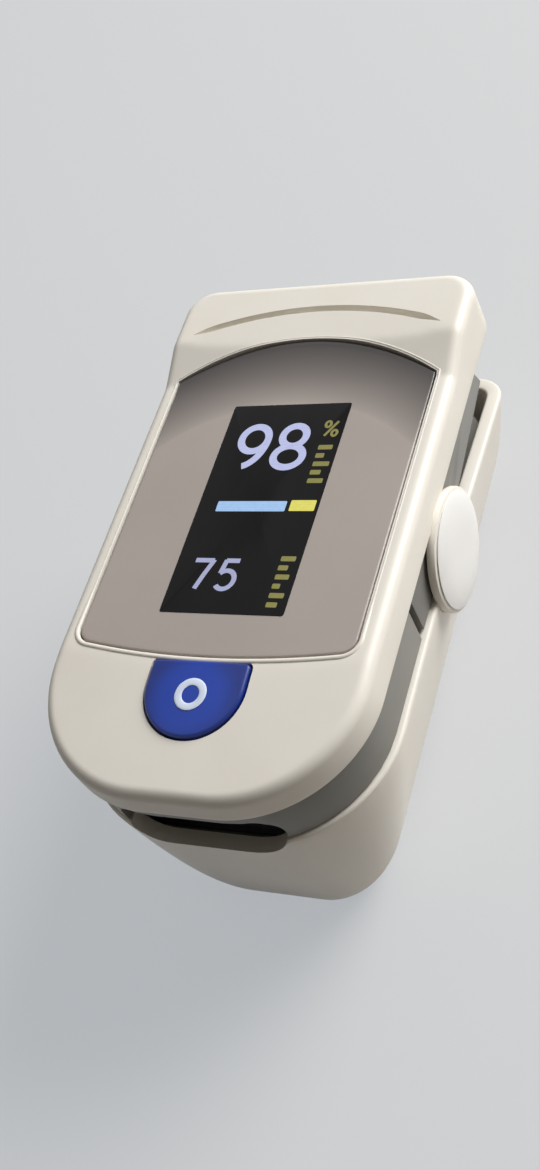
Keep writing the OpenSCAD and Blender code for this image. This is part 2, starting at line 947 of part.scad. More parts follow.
// Floor of the finger bay, with the side ribs that guide the finger
frame_short = 2;
frame_corner = 2;
frame_end = lower_rear(floor_z) - hull_inset - frame_short;
module lower_frame() {
  color(grey_c)
    difference() {
      union() {
        slab(floor_z, floor_top,
             plan(lower_half_w(floor_z) - hull_inset - fit, lower_front(floor_z) + hull_inset + fit,
                  frame_end, lower_r(floor_z) - hull_inset, frame_corner));
        both_sides()
          block(bay_w / 2, bay_w / 2 + rib_t, rib_y0, stop_y, floor_top - skin, stop_top);
      }
      places(screw_x, lower_screw_y)
        cylinder(r = screw_r + screw_clear, h = far);
      path_block(lamp_half + lamp_gap, 0, far);
    }
}

module finger_stop() {
  color(rubber_c)
    mid_block(bay_w / 2 - pad_gap, stop_y, stop_y + stop_t, floor_top, stop_top);
}

// Round cap over a hinge ear: a short rim and a bevelled face
cap_rim = cap_t / 2;
module hinge_cap() {
  translate([ear_out, pivot_y, pivot_z])
    rotate([0, 90, 0]) {
      cylinder(r = cap_r, h = cap_rim);
      translate([0, 0, cap_rim])
        cylinder(r1 = cap_r, r2 = cap_r - cap_t, h = cap_t - cap_rim);
    }
}

module hinge_cap_right() {
  color(white_c)
    hinge_cap();
}

module hinge_cap_left() {
  color(white_c)
    mirror([1, 0, 0])
      hinge_cap();
}

module hinge_pin_right() {
  color(steel_c)
    axle(pin_r, pin_in, ear_out);
}

module hinge_pin_left() {
  color(steel_c)
    mirror([1, 0, 0])
      hinge_pin_right();
}

// Torsion spring: a helix round the pin, with one leg to each jaw at the squeeze end
wire_sides = 6;
turn_steps = 14;
leg_len = 7.5;
leg_gap = 0.1;
function helix(i) = let (a = 360 * i / turn_steps)
  [spring_x - spring_pitch * i / turn_steps, pivot_y + spring_r * sin(a), pivot_z + spring_r * cos(a)];
upper_leg = [spring_x, pivot_y + leg_len, ceiling_z - plate_t - spring_wire / 2 - leg_gap];
lower_leg = [spring_x - spring_pitch * spring_turns - spring_pitch / 2, pivot_y + leg_len,
             floor_top + spring_wire / 2 + leg_gap];
half_turn = 0.5;
helix_end = round((spring_turns + half_turn) * turn_steps);
spring_path = concat([upper_leg], [for (i = [0 : helix_end]) helix(i)], [lower_leg]);

// A ring of points round place i of a path, square to the path there and turned from a side line
side_line = [1, 0.2, 0.1];
function unit(v) = v / norm(v);
function tangent(path, i) = unit(path[min(i + 1, len(path) - 1)] - path[max(i - 1, 0)]);
function ring(path, i, r, n) =
  let (t = tangent(path, i), u = unit(cross(t, side_line)), v = cross(t, u))
    [for (k = [0 : n - 1]) path[i] + r * (cos(360 * k / n) * u + sin(360 * k / n) * v)];
module wire(path, r, n) {
  last = len(path) - 1;
  points = [for (i = [0 : last]) each ring(path, i, r, n)];
  sides = [for (i = [0 : last - 1], k = [0 : n - 1])
    [i * n + k, (i + 1) * n + k, (i + 1) * n + (k + 1) % n, i * n + (k + 1) % n]];
  first_end = [for (k = [0 : n - 1]) k];
  last_end = [for (k = [n - 1 : -1 : 0]) last * n + k];
  polyhedron(points, concat(sides, [first_end], [last_end]));
}

module torsion_spring_right() {
  color(steel_c)
    wire(spring_path, spring_wire / 2, wire_sides);
}

module torsion_spring_left() {
  color(steel_c)
    mirror([1, 0, 0])
      torsion_spring_right();
}

// Flat cable from the main board down to the lower frame, with a slack bend at the hinge
flex_steps = 16;
function flex_point(i, side) = let (t = i / flex_steps)
  [flex_y - flex_slack * sin(180 * t) + side * flex_t / 2, floor_top + (board_z - floor_top) * t];
module flex_cable() {
  color([0.75, 0.45, 0.15])
    side(-flex_w / 2, flex_w / 2, concat(
      [for (i = [0 : flex_steps]) flex_point(i, 1)],
      [for (i = [flex_steps : -1 : 0]) flex_point(i, -1)]));
}

// A cell with bevelled ends and its nub, which points to the finger end when turned
nub_r = 1.9;
nub_h = 0.9;
cell_edge = 0.4;
module cell(turned) {
  rotate([turned ? 90 : -90, 0, 0])
    translate([0, 0, turned ? -cell_len : 0]) {
      cylinder(r1 = cell_r - cell_edge, r2 = cell_r, h = cell_edge);
      translate([0, 0, cell_edge])
        cylinder(r = cell_r, h = cell_len - nub_h - 2 * cell_edge);
      translate([0, 0, cell_len - nub_h - cell_edge])
        cylinder(r1 = cell_r, r2 = cell_r - cell_edge, h = cell_edge);
      cylinder(r = nub_r, h = cell_len);
    }
}

module battery_left() {
  color([0.2, 0.25, 0.3])
    translate([-cell_x, cell_y0, cell_z])
      cell(false);
}

module battery_right() {
  color([0.2, 0.25, 0.3])
    translate([cell_x, cell_y0, cell_z])
      cell(true);
}

// Flat contact plates at both ends of the cells, with a dimple on each nub
dimple_r = 1.2;
module contact_plates() {
  color(steel_c) {
    both_sides()
      block(cell_x - contact_w, contact_x, plate_y0, plate_y0 + contact_t, contact_foot, contact_top);
    mid_block(contact_x, plate_y1 - contact_t, plate_y1, contact_foot, contact_top);
    translate([cell_x, plate_y0 + contact_t - skin, cell_z])
      rotate([-90, 0, 0])
        cylinder(r = dimple_r, h = contact_room - contact_t + skin);
    translate([-cell_x, plate_y1 - contact_t + skin, cell_z])
      rotate([90, 0, 0])
        cylinder(r = dimple_r, h = contact_room - contact_t + skin);
  }
}

// Cone springs on the flat cell ends, as rings that narrow towards the cell
cone_wire = 0.3;
cone_rings = 3;
cone_r = contact_w - cone_wire;
cone_step = 0.32;
module cone_spring() {
  pitch = (contact_room - contact_t - 2 * cone_wire) / (cone_rings - 1);
  for (i = [0 : cone_rings - 1])
    translate([0, 0, cone_wire + pitch * i])
      rotate_extrude()
        translate([cone_r - cone_step * i, 0])
          circle(r = cone_wire);
}

module contact_springs() {
  color(steel_c) {
    translate([-cell_x, plate_y0 + contact_t, cell_z])
      rotate([-90, 0, 0])
        cone_spring();
    translate([cell_x, plate_y1 - contact_t, cell_z])
      rotate([90, 0, 0])
        cone_spring();
  }
}

upper_shell();
display_panel();
display_window();
display_gasket();
oled_module();
main_board();
board_chips();
tact_switch();
upper_frame();
hinge_bracket();
upper_pad();
emitter_window();
emitter_led();
emitter_board();
upper_screws();
power_button();
button_symbol();
switch_plunger();
lower_shell();
hinge_cap_left();
hinge_cap_right();
hinge_pin_left();
hinge_pin_right();
torsion_spring_left();
torsion_spring_right();
lower_frame();
lower_pad();
finger_stop();
detector_window();
photodiode();
detector_board();
flex_cable();
battery_left();
battery_right();
contact_springs();
contact_plates();
lower_screws();
battery_cover();
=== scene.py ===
import math
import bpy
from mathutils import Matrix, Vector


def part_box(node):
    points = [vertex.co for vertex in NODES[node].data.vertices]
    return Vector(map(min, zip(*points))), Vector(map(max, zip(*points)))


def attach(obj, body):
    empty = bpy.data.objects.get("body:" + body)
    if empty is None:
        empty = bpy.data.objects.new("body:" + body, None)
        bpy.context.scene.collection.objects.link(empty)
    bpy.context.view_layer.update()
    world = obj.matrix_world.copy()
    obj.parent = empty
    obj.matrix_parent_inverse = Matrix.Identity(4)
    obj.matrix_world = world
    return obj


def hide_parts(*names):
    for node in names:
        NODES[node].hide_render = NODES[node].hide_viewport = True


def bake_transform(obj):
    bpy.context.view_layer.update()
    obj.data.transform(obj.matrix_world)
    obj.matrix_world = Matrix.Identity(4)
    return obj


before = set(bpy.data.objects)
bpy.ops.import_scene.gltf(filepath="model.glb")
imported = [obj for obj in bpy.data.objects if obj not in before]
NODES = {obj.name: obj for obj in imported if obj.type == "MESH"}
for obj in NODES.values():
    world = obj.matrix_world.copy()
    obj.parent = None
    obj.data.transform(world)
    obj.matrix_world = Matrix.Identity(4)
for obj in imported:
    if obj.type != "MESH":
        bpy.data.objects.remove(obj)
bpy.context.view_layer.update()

from types import SimpleNamespace

import bpy
import numpy as np
from mathutils import Matrix

bl_info = {
    "name": "Fingertip Pulse Oximeter",
    "version": (1, 0, 0),
    "blender": (4, 5, 0),
    "location": "View3D > Sidebar > Oximeter",
    "description": "Dresses the packed pulse oximeter in its moulded shells, lit screen and finishes",
    "category": "Mesh",
}

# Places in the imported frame. Shapes are worked out in millimetres, and raw() brings them to metres.

MM = 0.001


def box(node):
    """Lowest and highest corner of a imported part, in millimetres."""
    return [np.array(corner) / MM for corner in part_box(node)]


SHELL_LOW, SHELL_HIGH = box("upper_shell")
PANEL_LOW, PANEL_HIGH = box("display_panel")
CAP_LOW, CAP_HIGH = box("hinge_cap_right")


# Properties

def length(name, description, millimetres):
    """A length property, which Blender keeps in metres."""
    return bpy.props.FloatProperty(name=name, description=description, default=float(millimetres) * MM,
                                   unit="LENGTH", subtype="DISTANCE", precision=5)


def tint(name, description, red, green, blue):
    """A colour property, given as display values from 0 to 255 and kept as linear light."""
    part = np.array([red, green, blue]) / 255
    linear = np.where(part <= 0.04045, part / 12.92, ((part + 0.055) / 1.055) ** 2.4)
    return bpy.props.FloatVectorProperty(name=name, description=description, size=3, min=0, max=1,
                                         subtype="COLOR", default=tuple(float(v) for v in linear))


class OximeterSizes(bpy.types.PropertyGroup):
    """Sizes of the dressed pieces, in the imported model's frame"""
    half_width: length("Half width", "Half the width of the upper shell", SHELL_HIGH[0])
    front: length("Finger end", "Y of the rounded finger end", SHELL_LOW[1])
    rear: length("Squeeze end", "Y of the squeeze end", SHELL_HIGH[1])
    nose_r: length("Nose radius", "Plan radius of the finger end's corners", 12.5)
    tail_r: length("Tail radius", "Plan radius of the squeeze end's corners", 3.2)
    edge_r: length("Edge radius", "Rounding round the top of the upper shell", 1.1)
    seam_z: length("Seam height", "Foot of the white upper wall", SHELL_LOW[2])
    deck_z: length("Display height", "Plane that the display lens lies in", PANEL_HIGH[2])
    bar_z: length("Bar height", "Top of the raised rear bar", SHELL_HIGH[2])
    bar_y: length("Bar edge", "Y of the raised bar's front edge", 21.3)
    ramp_y: length("Shoulder foot", "Y where the shoulder starts to rise to the bar", 16.6)
    roof_z: length("Roof underside", "Underside of the upper shell's roof", 27.2)
    ledge_z: length("Lens seat", "Ledge that the display lens lies on", PANEL_LOW[2])
    shell_t: length("Wall", "Wall of the upper shell", 1.4)
    hull_t: length("Lower wall", "Wall of the lower shell", 1.54)
    nose_y: length("Deck crease", "Y where the button deck starts to fall", -15.6)
    nose_fall: length("Deck fall", "Fall of the button deck over its length", 1.0)
    nose_len: length("Deck length", "Length of the sloped button deck", 12)
    part_z: length("Lower rim", "Rim of the lower shell at the finger end", 19.3)
    keel_half: length("Keel half width", "Half the width of the lower shell's flat base", 7.633)
    pivot_y: length("Hinge Y", "Y of the hinge axis", 3.3)
    pivot_z: length("Hinge height", "Height of the hinge axis", 19.4)
    ear_r: length("Ear radius", "Radius of the hinge ears", 6)
    button_lift: length("Button lift", "How far the button stands over the deck", 0.4)


def sizes(context):
    """The sizes by name, in millimetres."""
    group = context.scene.oximeter_sizes
    return SimpleNamespace(**{key: getattr(group, key) / MM for key in OximeterSizes.__annotations__})


class OximeterColours(bpy.types.PropertyGroup):
    """Colours of the finishes"""
    white: tint("White shell", "Cream white of the two shells", 235, 230, 220)
    cap: tint("Hinge cap", "Whiter plastic of the hinge caps", 242, 241, 238)
    grey: tint("Grey frame", "Grey of the band and the hinge bracket", 132, 130, 124)
    lens: tint("Display lens", "Satin grey of the lens plate", 166, 156, 149)
    # Colour of the painted shadow that darkens the lens's end under the arch
    lens_painted_shadow: tint("Lens shade", "Dark end of the lens under the arch", 44, 37, 35)
    glass: tint("Screen glass", "Black of the unlit screen", 14, 12, 13)
    digits: tint("Readout", "Pale blue of the figures", 186, 192, 232)
    level: tint("Level bar", "Blue of the level bar", 158, 196, 240)
    marks: tint("Marks", "Yellow of the small marks", 226, 218, 92)
    button: tint("Button", "Blue of the button", 20, 62, 170)
    # Colour of the painted shade that deepens the button towards its rim
    button_rim_shade: tint("Button edge", "Deeper blue at the button's edge", 10, 38, 116)
    symbol: tint("Button ring", "Pale ring on the button", 220, 232, 250)
    rubber: tint("Finger pads", "Dark silicone of the finger pads", 58, 58, 62)
    floor: tint("Floor", "Pale studio floor", 188, 183, 177)
    floor_glow: tint("Floor glow", "Pale light that the floor shows to the camera", 233, 239, 245)


# Surfaces

def turned_over(faces):
    """Faces with their corners in the opposite order."""
    return [f[::-1] for f in faces]


def closed_faces(verts, faces):
    """Turns the faces of a closed skin outwards: by the sign of its volume, which is the sum over its
    fan triangles of one sixth of the box product of their corners."""
    total = 0.0
    for size in (3, 4):
        part = np.array([f for f in faces if len(f) == size], int)
        for k in range(1, size - 1) if len(part) else ():
            a, b, c = verts[part[:, 0]], verts[part[:, k]], verts[part[:, k + 1]]
            total += np.einsum("ij,ij->", a, np.cross(b, c))
    return faces if total > 0 else turned_over(faces)


def strips(lower, upper):
    """Quads between two closed rows of vertex numbers, point by point."""
    corners = [lower, np.roll(lower, -1, -1), np.roll(upper, -1, -1), upper]
    return np.stack(corners, -1).reshape(-1, 4).tolist()


def quads(index):
    """Quads of an open grid of vertex numbers."""
    corners = [index[:-1, :-1], index[:-1, 1:], index[1:, 1:], index[1:, :-1]]
    return np.stack(corners, -1).reshape(-1, 4).tolist()


def loft(rings, loop=False):
    """The closed skin over a stack of closed rings, shape (rings, points, 3): quads join each ring to the
    next. In a loop the last ring joins the first; otherwise each end closes on the mean of its end ring."""
    m, n, _ = rings.shape
    grid = np.arange(m * n).reshape(m, n)
    verts = rings.reshape(-1, 3)
    if loop:
        faces = strips(grid, np.roll(grid, -1, 0))
    else:
        faces = strips(grid[:-1], grid[1:])
        verts = np.vstack([verts, rings[0].mean(0), rings[-1].mean(0)])
        ring = np.roll(grid, -1, 1)
        faces += np.stack([np.full(n, m * n), ring[0], grid[0]], -1).tolist()
        faces += np.stack([np.full(n, m * n + 1), grid[-1], ring[-1]], -1).tolist()
    return verts, closed_faces(verts, faces)


def joined(*skins):
    """Several skins as one: their points stacked, each one's faces counted on."""
    verts, faces, count = [], [], 0
    for v, f in skins:
        verts.append(v)
        faces += [[i + count for i in face] for face in f]
        count += len(v)
    return np.vstack(verts), faces


def flipped(skin):
    """The mirror image of a skin in x, with its faces turned back outwards."""
    return skin[0] * [-1, 1, 1], turned_over(skin[1])


def mirrored(skin):
    """A skin and its mirror image, as one."""
    return joined(skin, flipped(skin))


def raw(name, skin):
    """A bare mesh object from a skin in millimetres."""
    verts, faces = skin
    mesh = bpy.data.meshes.new(name)
    mesh.from_pydata(verts * MM, [], faces)
    mesh.validate()
    made = bpy.data.objects.new(name, mesh)
    bpy.context.scene.collection.objects.link(made)
    return made


def dressed(made, body, slot, look, stands_for=None, crease=35):
    """Shades a piece smooth but for edges sharper than the crease angle, gives it its look, and sets it on
    its body, if it has just one. The slot is not used."""
    made.data.shade_smooth()
    made.data.set_sharp_from_angle(angle=math.radians(crease))
    made.data.materials.clear()
    made.data.materials.append(look)
    if stands_for:
        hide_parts(stands_for)
    if body:
        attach(made, body)


def piece(name, skin, *rest):
    """Makes a piece from a skin and dresses it."""
    dressed(raw(name, skin), *rest)


def carved(made, *cuts):
    """Cuts, joins or meets a piece with tools given as (operation, skin), and keeps the resulting mesh."""
    fewest_faces = 12
    tools = [(operation, raw(f"{made.name}_tool", skin)) for operation, skin in cuts]
    for operation, tool in tools:
        cut = made.modifiers.new("carve", "BOOLEAN")
        cut.operation = operation
        cut.solver = "MANIFOLD"
        cut.object = tool
    shown = made.evaluated_get(bpy.context.evaluated_depsgraph_get())
    mesh = bpy.data.meshes.new_from_object(shown)
    if len(mesh.polygons) < fewest_faces:
        raise RuntimeError(f"{made.name}: the cut left nothing")
    mesh.name = made.name
    made.modifiers.clear()
    made.data = mesh
    for _, tool in tools:
        bpy.data.objects.remove(tool)
    return made


def points_of(part):
    """The points of an object's mesh, in millimetres."""
    flat = np.empty(len(part.data.vertices) * 3)
    part.data.vertices.foreach_get("co", flat)
    return flat.reshape(-1, 3) / MM


def smooth(value, low, high):
    """Soft step from 0 at low to 1 at high: t squared times 3 less 2t."""
    t = np.clip((value - low) / (high - low), 0, 1)
    return t * t * (3 - 2 * t)


def stacked(x, y, z):
    """Points of shape (rings, points, 3) from three arrays that broadcast together."""
    return np.stack(np.broadcast_arrays(x, y, z), -1)


def column(*values):
    """Numbers as a column, one to a ring."""
    return np.array(values, float)[:, None]


def steps(first, last, count):
    """Even steps as a column, one to a ring."""
    return np.linspace(first, last, count)[:, None]


def angles(start, end, count):
    """Even angles from start to end, in degrees, as a column in radians."""
    return np.radians(steps(start, end, count))


def arc(x, y, r, start, end, count):
    """Points on a circle about (x, y), from one angle to the other, in degrees."""
    a = angles(start, end, count)[:, 0]
    return np.stack([x + r * np.cos(a), y + r * np.sin(a)], -1)


def oval(wide, high, count=14):
    """A closed oval of the given half width and half height."""
    a = np.linspace(0, 2 * math.pi, count, endpoint=False)
    return np.stack([wide * np.cos(a), high * np.sin(a)], -1)


def drawn_in(x, y, mid_y, share):
    """x and y of a plan drawn in to (0, mid_y), one ring to a share."""
    return x * share, mid_y + (y - mid_y) * share


class Ring:
    """A round-cornered plan with a fixed count of points, so that rings of it can be lofted.
    Each point lies on corner a, or on the straight run from corner a to corner b at share t,
    and keeps one outward direction: P = (1 - t)(Ca + ra n) + t (Cb + rb n)."""

    def __init__(self, corner, side, end):
        angle, first, second, share = [], [], [], []
        for k, run in enumerate((side, end, side, end)):
            angle += [np.linspace(90 * k - 90, 90 * k, corner), np.full(run, 90.0 * k)]
            first += [np.full(corner + run, k)]
            second += [np.full(corner + run, (k + 1) % 4)]
            share += [np.zeros(corner), np.linspace(0, 1, run + 2)[1:-1]]
        turn = np.radians(np.concatenate(angle))
        self.nx, self.ny = np.cos(turn), np.sin(turn)
        self.first, self.second = np.concatenate(first), np.concatenate(second)
        self.share = np.concatenate(share)

    def corner(self, k, half, front, rear, nose_r, tail_r):
        """x and y on corner k in the outward direction of each point."""
        side = np.array([1, 1, -1, -1])[k]
        ahead = np.array([True, False, False, True])[k]
        r = np.where(ahead, nose_r, tail_r)
        return (side * (half - r) + r * self.nx,
                np.where(ahead, front + nose_r, rear - tail_r) + r * self.ny)

    def points(self, half, front, rear, nose_r, tail_r, inset):
        """x and y of the plan, drawn in by inset along its outward direction."""
        plan = (half, front, rear, nose_r, tail_r)
        ax, ay = self.corner(self.first, *plan)
        bx, by = self.corner(self.second, *plan)
        return (ax + (bx - ax) * self.share - inset * self.nx,
                ay + (by - ay) * self.share - inset * self.ny)


def prism(plan, low, high):
    """A plan of shape (points, 2) carried straight up from one height to the other."""
    return loft(stacked(*plan.T, column(low, high)))


def block(x0, x1, y0, y1, z0, z1):
    """A box between two corners."""
    return prism(np.array([[x0, y0], [x1, y0], [x1, y1], [x0, y1]]), z0, z1)


def turned(profile, centre, count):
    """A profile of (distance along x, radius) turned about the line through centre along x."""
    along, radius = np.array(profile).T[..., None]
    cos, sin = oval(1, 1, count).T
    return loft(stacked(along, centre[0] + radius * cos, centre[1] + radius * sin))


def drum(x0, x1, r, centre, count=72, pole=1.0):
    """A plain cylinder along x, whose ends close from the radius pole inwards."""
    return turned([(x0, pole), (x0, r), (x1, r), (x1, pole)], centre, count)


def swept(path, profile, up=(0, 0, 1), taper=None, loop=False):
    """A closed profile of (across, upward) carried along a path: at each point the across direction is
    tangent x up, the upward one across x tangent, and taper scales the profile."""
    ahead = np.roll(path, -1, 0) - np.roll(path, 1, 0) if loop else np.gradient(path, axis=0)
    ahead /= np.linalg.norm(ahead, axis=1)[:, None]
    across = np.cross(ahead, np.broadcast_to(np.array(up, float), ahead.shape))
    across /= np.linalg.norm(across, axis=1)[:, None]
    upward = np.cross(across, ahead)
    size = np.ones(len(path)) if taper is None else taper
    section = across[:, None] * profile[:, 0, None] + upward[:, None] * profile[:, 1, None]
    return loft(path[:, None] + size[:, None, None] * section, loop)


# Finishes

class Wire:
    """A node socket that takes part in Python sums: each operator adds one Math node."""

    def __init__(self, tree, socket=None):
        self.tree, self.socket = tree, socket

    def node(self, kind, settings=None, sockets=None, out=0):
        """Adds any node: its type, its settings first, then the values or links of its sockets."""
        made = self.tree.nodes.new(kind)
        for key, value in (settings or {}).items():
            setattr(made, key, value)
        for key, value in (sockets or {}).items():
            if isinstance(value, Wire):
                self.tree.links.new(value.socket, made.inputs[key])
            else:
                made.inputs[key].default_value = value
        return Wire(self.tree, made.outputs[out])

    def math(self, operation, first, second=0.0, clamp=False):
        settings = {"operation": operation, "use_clamp": clamp}
        return self.node("ShaderNodeMath", settings, {0: first, 1: second})

    def __add__(self, other):
        return self.math("ADD", self, other)

    __radd__ = __add__

    def __sub__(self, other):
        return self.math("SUBTRACT", self, other)

    def __rsub__(self, other):
        return self.math("SUBTRACT", other, self)

    def __mul__(self, other):
        return self.math("MULTIPLY", self, other)

    __rmul__ = __mul__

    def __truediv__(self, other):
        return self.math("DIVIDE", self, other)

    def __rtruediv__(self, other):
        return self.math("DIVIDE", other, self)

    def __pow__(self, other):
        return self.math("POWER", self, other)

    def clamped(self):
        return self.math("ADD", self, 0.0, True)

    def waves(self, pitch):
        """Sine of this distance, one wave to a pitch."""
        return self.math("SINE", self * (2 * math.pi / pitch))

    def over(self, low, high):
        """Soft step of this value from 0 at low to 1 at high."""
        return self.node("ShaderNodeMapRange", {"interpolation_type": "SMOOTHSTEP"},
                         {"Value": self, "From Min": low, "From Max": high})

    def mix(self, first, second):
        """Mix of two colours by this value."""
        return self.node("ShaderNodeMix", {"data_type": "RGBA"}, {0: self, 6: first, 7: second}, 2)

    def noise(self, scale, detail, rough=0.5):
        """Noise over this place, from about 0.2 to 0.8."""
        return self.node("ShaderNodeTexNoise", None,
                         {"Vector": self, "Scale": scale, "Detail": detail, "Roughness": rough})

    def stretched(self, x, y, z):
        """This place with each direction scaled, for brushed and streaked patterns."""
        return self.node("ShaderNodeMapping", None, {"Vector": self, "Scale": (x, y, z)})

    def axes(self):
        """The three parts of this place."""
        split = self.node("ShaderNodeSeparateXYZ", None, {0: self})
        return [Wire(self.tree, socket) for socket in split.socket.node.outputs]

    def away(self, centre_y):
        """Distance of this place in plan from the point (0, centre_y)."""
        x, y, _ = self.axes()
        return (x * x + (y - centre_y) * (y - centre_y)) ** 0.5

    def bump(self, strength, distance):
        """A bump from this height, for a shader's Normal."""
        sockets = {"Height": self, "Strength": strength, "Distance": distance}
        return self.node("ShaderNodeBump", None, sockets)


def opaque(colour):
    """A colour with full alpha, its parts kept between 0 and 1."""
    return (*[float(min(max(v, 0), 1)) for v in colour[:3]], 1.0)


def shade(colour, factor):
    """A colour made lighter or darker."""
    return opaque([v * factor for v in colour])


def shader_of(made):
    """The main shader of a material."""
    return made.node_tree.nodes["Principled BSDF"]


def finish(name, **fixed):
    """A new material with fixed shader values, and the place on the piece in Object coordinates."""
    made = bpy.data.materials.new(name)
    made.use_nodes = True
    for key, value in fixed.items():
        shader_of(made).inputs[key.replace("_", " ")].default_value = value
    return made, Wire(made.node_tree).node("ShaderNodeTexCoord", out="Object")


def fed(made, **sockets):
    """The material, with values that change over the surface linked to its shader's sockets."""
    for key, value in sockets.items():
        made.node_tree.links.new(value.socket, shader_of(made).inputs[key.replace("_", " ")])
    return made


def moulded(name, colour, rough, grain, grime=0.06, coat=0.0):
    """Moulded plastic: slow cloudiness in the colour, a spark-eroded fine grain and uneven gloss."""
    made, place = finish(name, Coat_Roughness=0.2, Coat_Weight=coat, Specular_IOR_Level=0.35)
    cloud = place.noise(140.0, 4.0)
    speck = place.noise(2600.0, 2.0)
    fine = place.noise(5200.0, 2.0, 0.6)
    tone = (cloud.over(0.3, 0.7) * 0.75 + speck * 0.25).clamped()
    return fed(made, Base_Color=tone.mix(shade(colour, 1 - grime), opaque(colour)),
               Roughness=rough - 0.05 + cloud * 0.08 + speck * 0.04,
               Normal=(fine + speck * 0.6).bump(grain, 0.02 * MM))


def shell_finish(name, colour, low, high):
    """Cream shell plastic: moulded grain and random cloudy tone, with painted shade that darkens it towards
    a foot height, where the seam and the underside lie in shade.
    """
    made, place = finish(name, Coat_Weight=0.06, Coat_Roughness=0.25, Specular_IOR_Level=0.35)
    mottle_and_shade_colour = opaque([part * kept for part, kept in zip(colour, (0.88, 0.86, 0.82))])
    cloud = place.noise(120.0, 4.0)
    speck = place.noise(3000.0, 2.0)
    fine = place.noise(5200.0, 2.0, 0.6)
    z = place.axes()[2]
    # Painted shade: the colour darkens below the foot heights, towards the seam and the underside
    foot = (1 - z.over(low * MM, high * MM)) * (cloud * 0.8 + 0.2)
    tone = (foot * 0.55 + cloud.over(0.35, 0.75) * 0.3 + speck * 0.12).clamped()
    return fed(made, Base_Color=tone.mix(opaque(colour), mottle_and_shade_colour), Roughness=0.32 + cloud * 0.1 + foot * 0.08,
               Normal=(fine + speck * 0.5).bump(0.1, 0.02 * MM))


def lens_finish(colour, shadow_colour, reach):
    """Satin lens plate: back-printed grey with a fine grain, with a painted shadow that darkens it over the
    reach up to the arch, where the raised bar shades it.
    """
    made, place = finish("lens_satin", Coat_Roughness=0.18)
    cloud = place.noise(90.0, 3.0)
    grain = place.noise(4200.0, 2.0, 0.7)
    inside = LENS_ARCH_R * MM - place.away(LENS_ARCH_Y * MM)
    # Painted shadow: the lens colour darkens over the reach towards the arch, where the raised bar shades
    # it
    rise = (1 - inside / (reach * MM)).clamped() ** 0.7
    base = (cloud.over(0.3, 0.7) * 0.6 + grain * 0.4).mix(shade(colour, 0.95), shade(colour, 1.04))
    return fed(made, Base_Color=rise.mix(base, opaque(shadow_colour)), Roughness=0.4 + grain * 0.1 - rise * 0.06,
               Coat_Weight=0.25 + cloud * 0.1, Normal=grain.bump(0.08, 0.015 * MM))


def glass_finish(colour):
    """Screen glass: near-black with faint wiped smears in its gloss."""
    made, place = finish("screen_glass", Specular_IOR_Level=0.1, Coat_Weight=0.04, Coat_Roughness=0.06)
    smear = place.stretched(1.0, 0.35, 1.0).noise(260.0, 5.0, 0.6)
    return fed(made, Base_Color=smear.over(0.35, 0.75).mix(opaque(colour), shade(colour, 1.7)),
               Roughness=0.1 + smear * 0.12)


def lit_finish(name, colour):
    """Lit screen ink: glow with the screen's fine rows and uneven cells, over a black ground."""
    made, place = finish(name, Roughness=0.3, Emission_Strength=1.0, Base_Color=(0.01, 0.01, 0.012, 1.0))
    cells = place.noise(2400.0, 2.0)
    rows = place.axes()[1].waves(0.19 * MM) * 0.12 + 0.88
    tone = (rows * (0.75 + cells * 0.4)).clamped()
    return fed(made, Emission_Color=tone.mix(shade(colour, 0.45), opaque(colour)))


def button_finish(colour, edge, centre_y, reach):
    """Button plastic: painted shade that deepens the blue towards its rim, with random cloudy tone, fine
    grain and a thin gloss.
    """
    made, place = finish("button_gloss", Coat_Weight=0.12, Coat_Roughness=0.2, Specular_IOR_Level=0.35)
    # Painted shade: the blue deepens towards the rim, where the rounded edge and the gap round the button
    # lie in shade
    out = place.away(centre_y * MM).over(0.55 * reach * MM, 1.05 * reach * MM)
    cloud = place.noise(420.0, 3.0)
    grain = place.noise(4600.0, 2.0)
    return fed(made, Base_Color=(out * 0.8 + cloud * 0.2).clamped().mix(opaque(colour), opaque(edge)),
               Roughness=0.3 + cloud * 0.1, Normal=grain.bump(0.06, 0.02 * MM))


def rubber_finish(name, colour):
    """Silicone: matt, with pores and a faint dusting."""
    made, place = finish(name)
    cell = place.node("ShaderNodeTexVoronoi", None, {"Vector": place, "Scale": 1500.0})
    dust = place.noise(330.0, 5.0, 0.65)
    return fed(made, Base_Color=dust.over(0.4, 0.8).mix(opaque(colour), shade(colour, 1.7)),
               Roughness=0.62 + dust * 0.2, Normal=cell.bump(0.3, 0.04 * MM))


def metal_finish(name, colour, stretch, rough=0.28):
    """Drawn metal: fine lines along its run and a cloudy polish."""
    made, place = finish(name, Metallic=1.0)
    lines = place.stretched(*stretch).noise(2200.0, 3.0)
    cloud = place.noise(500.0, 3.0)
    return fed(made, Base_Color=(lines * 0.6 + cloud * 0.4).mix(shade(colour, 0.78), shade(colour, 1.05)),
               Roughness=rough - 0.06 + lines * 0.16, Normal=lines.bump(0.12, 0.01 * MM))


def board_finish(name, colour, copper):
    """Circuit board: solder mask over stepped copper tracks, with a resin sheen."""
    made, place = finish(name, Coat_Weight=0.35, Coat_Roughness=0.2)
    lines = place.node("ShaderNodeTexBrick", {"offset": 0.37, "squash": 1.6},
                       {"Vector": place, "Scale": 420.0, "Mortar Size": 0.05, "Color1": (0, 0, 0, 1),
                        "Color2": (0.2, 0.2, 0.2, 1), "Mortar": (1, 1, 1, 1)}, 1)
    weave = place.noise(2400.0, 2.0)
    return fed(made, Base_Color=(lines * 0.7 + weave * 0.25).clamped().mix(opaque(colour), opaque(copper)),
               Roughness=0.34 + weave * 0.14, Normal=lines.bump(0.25, 0.03 * MM))


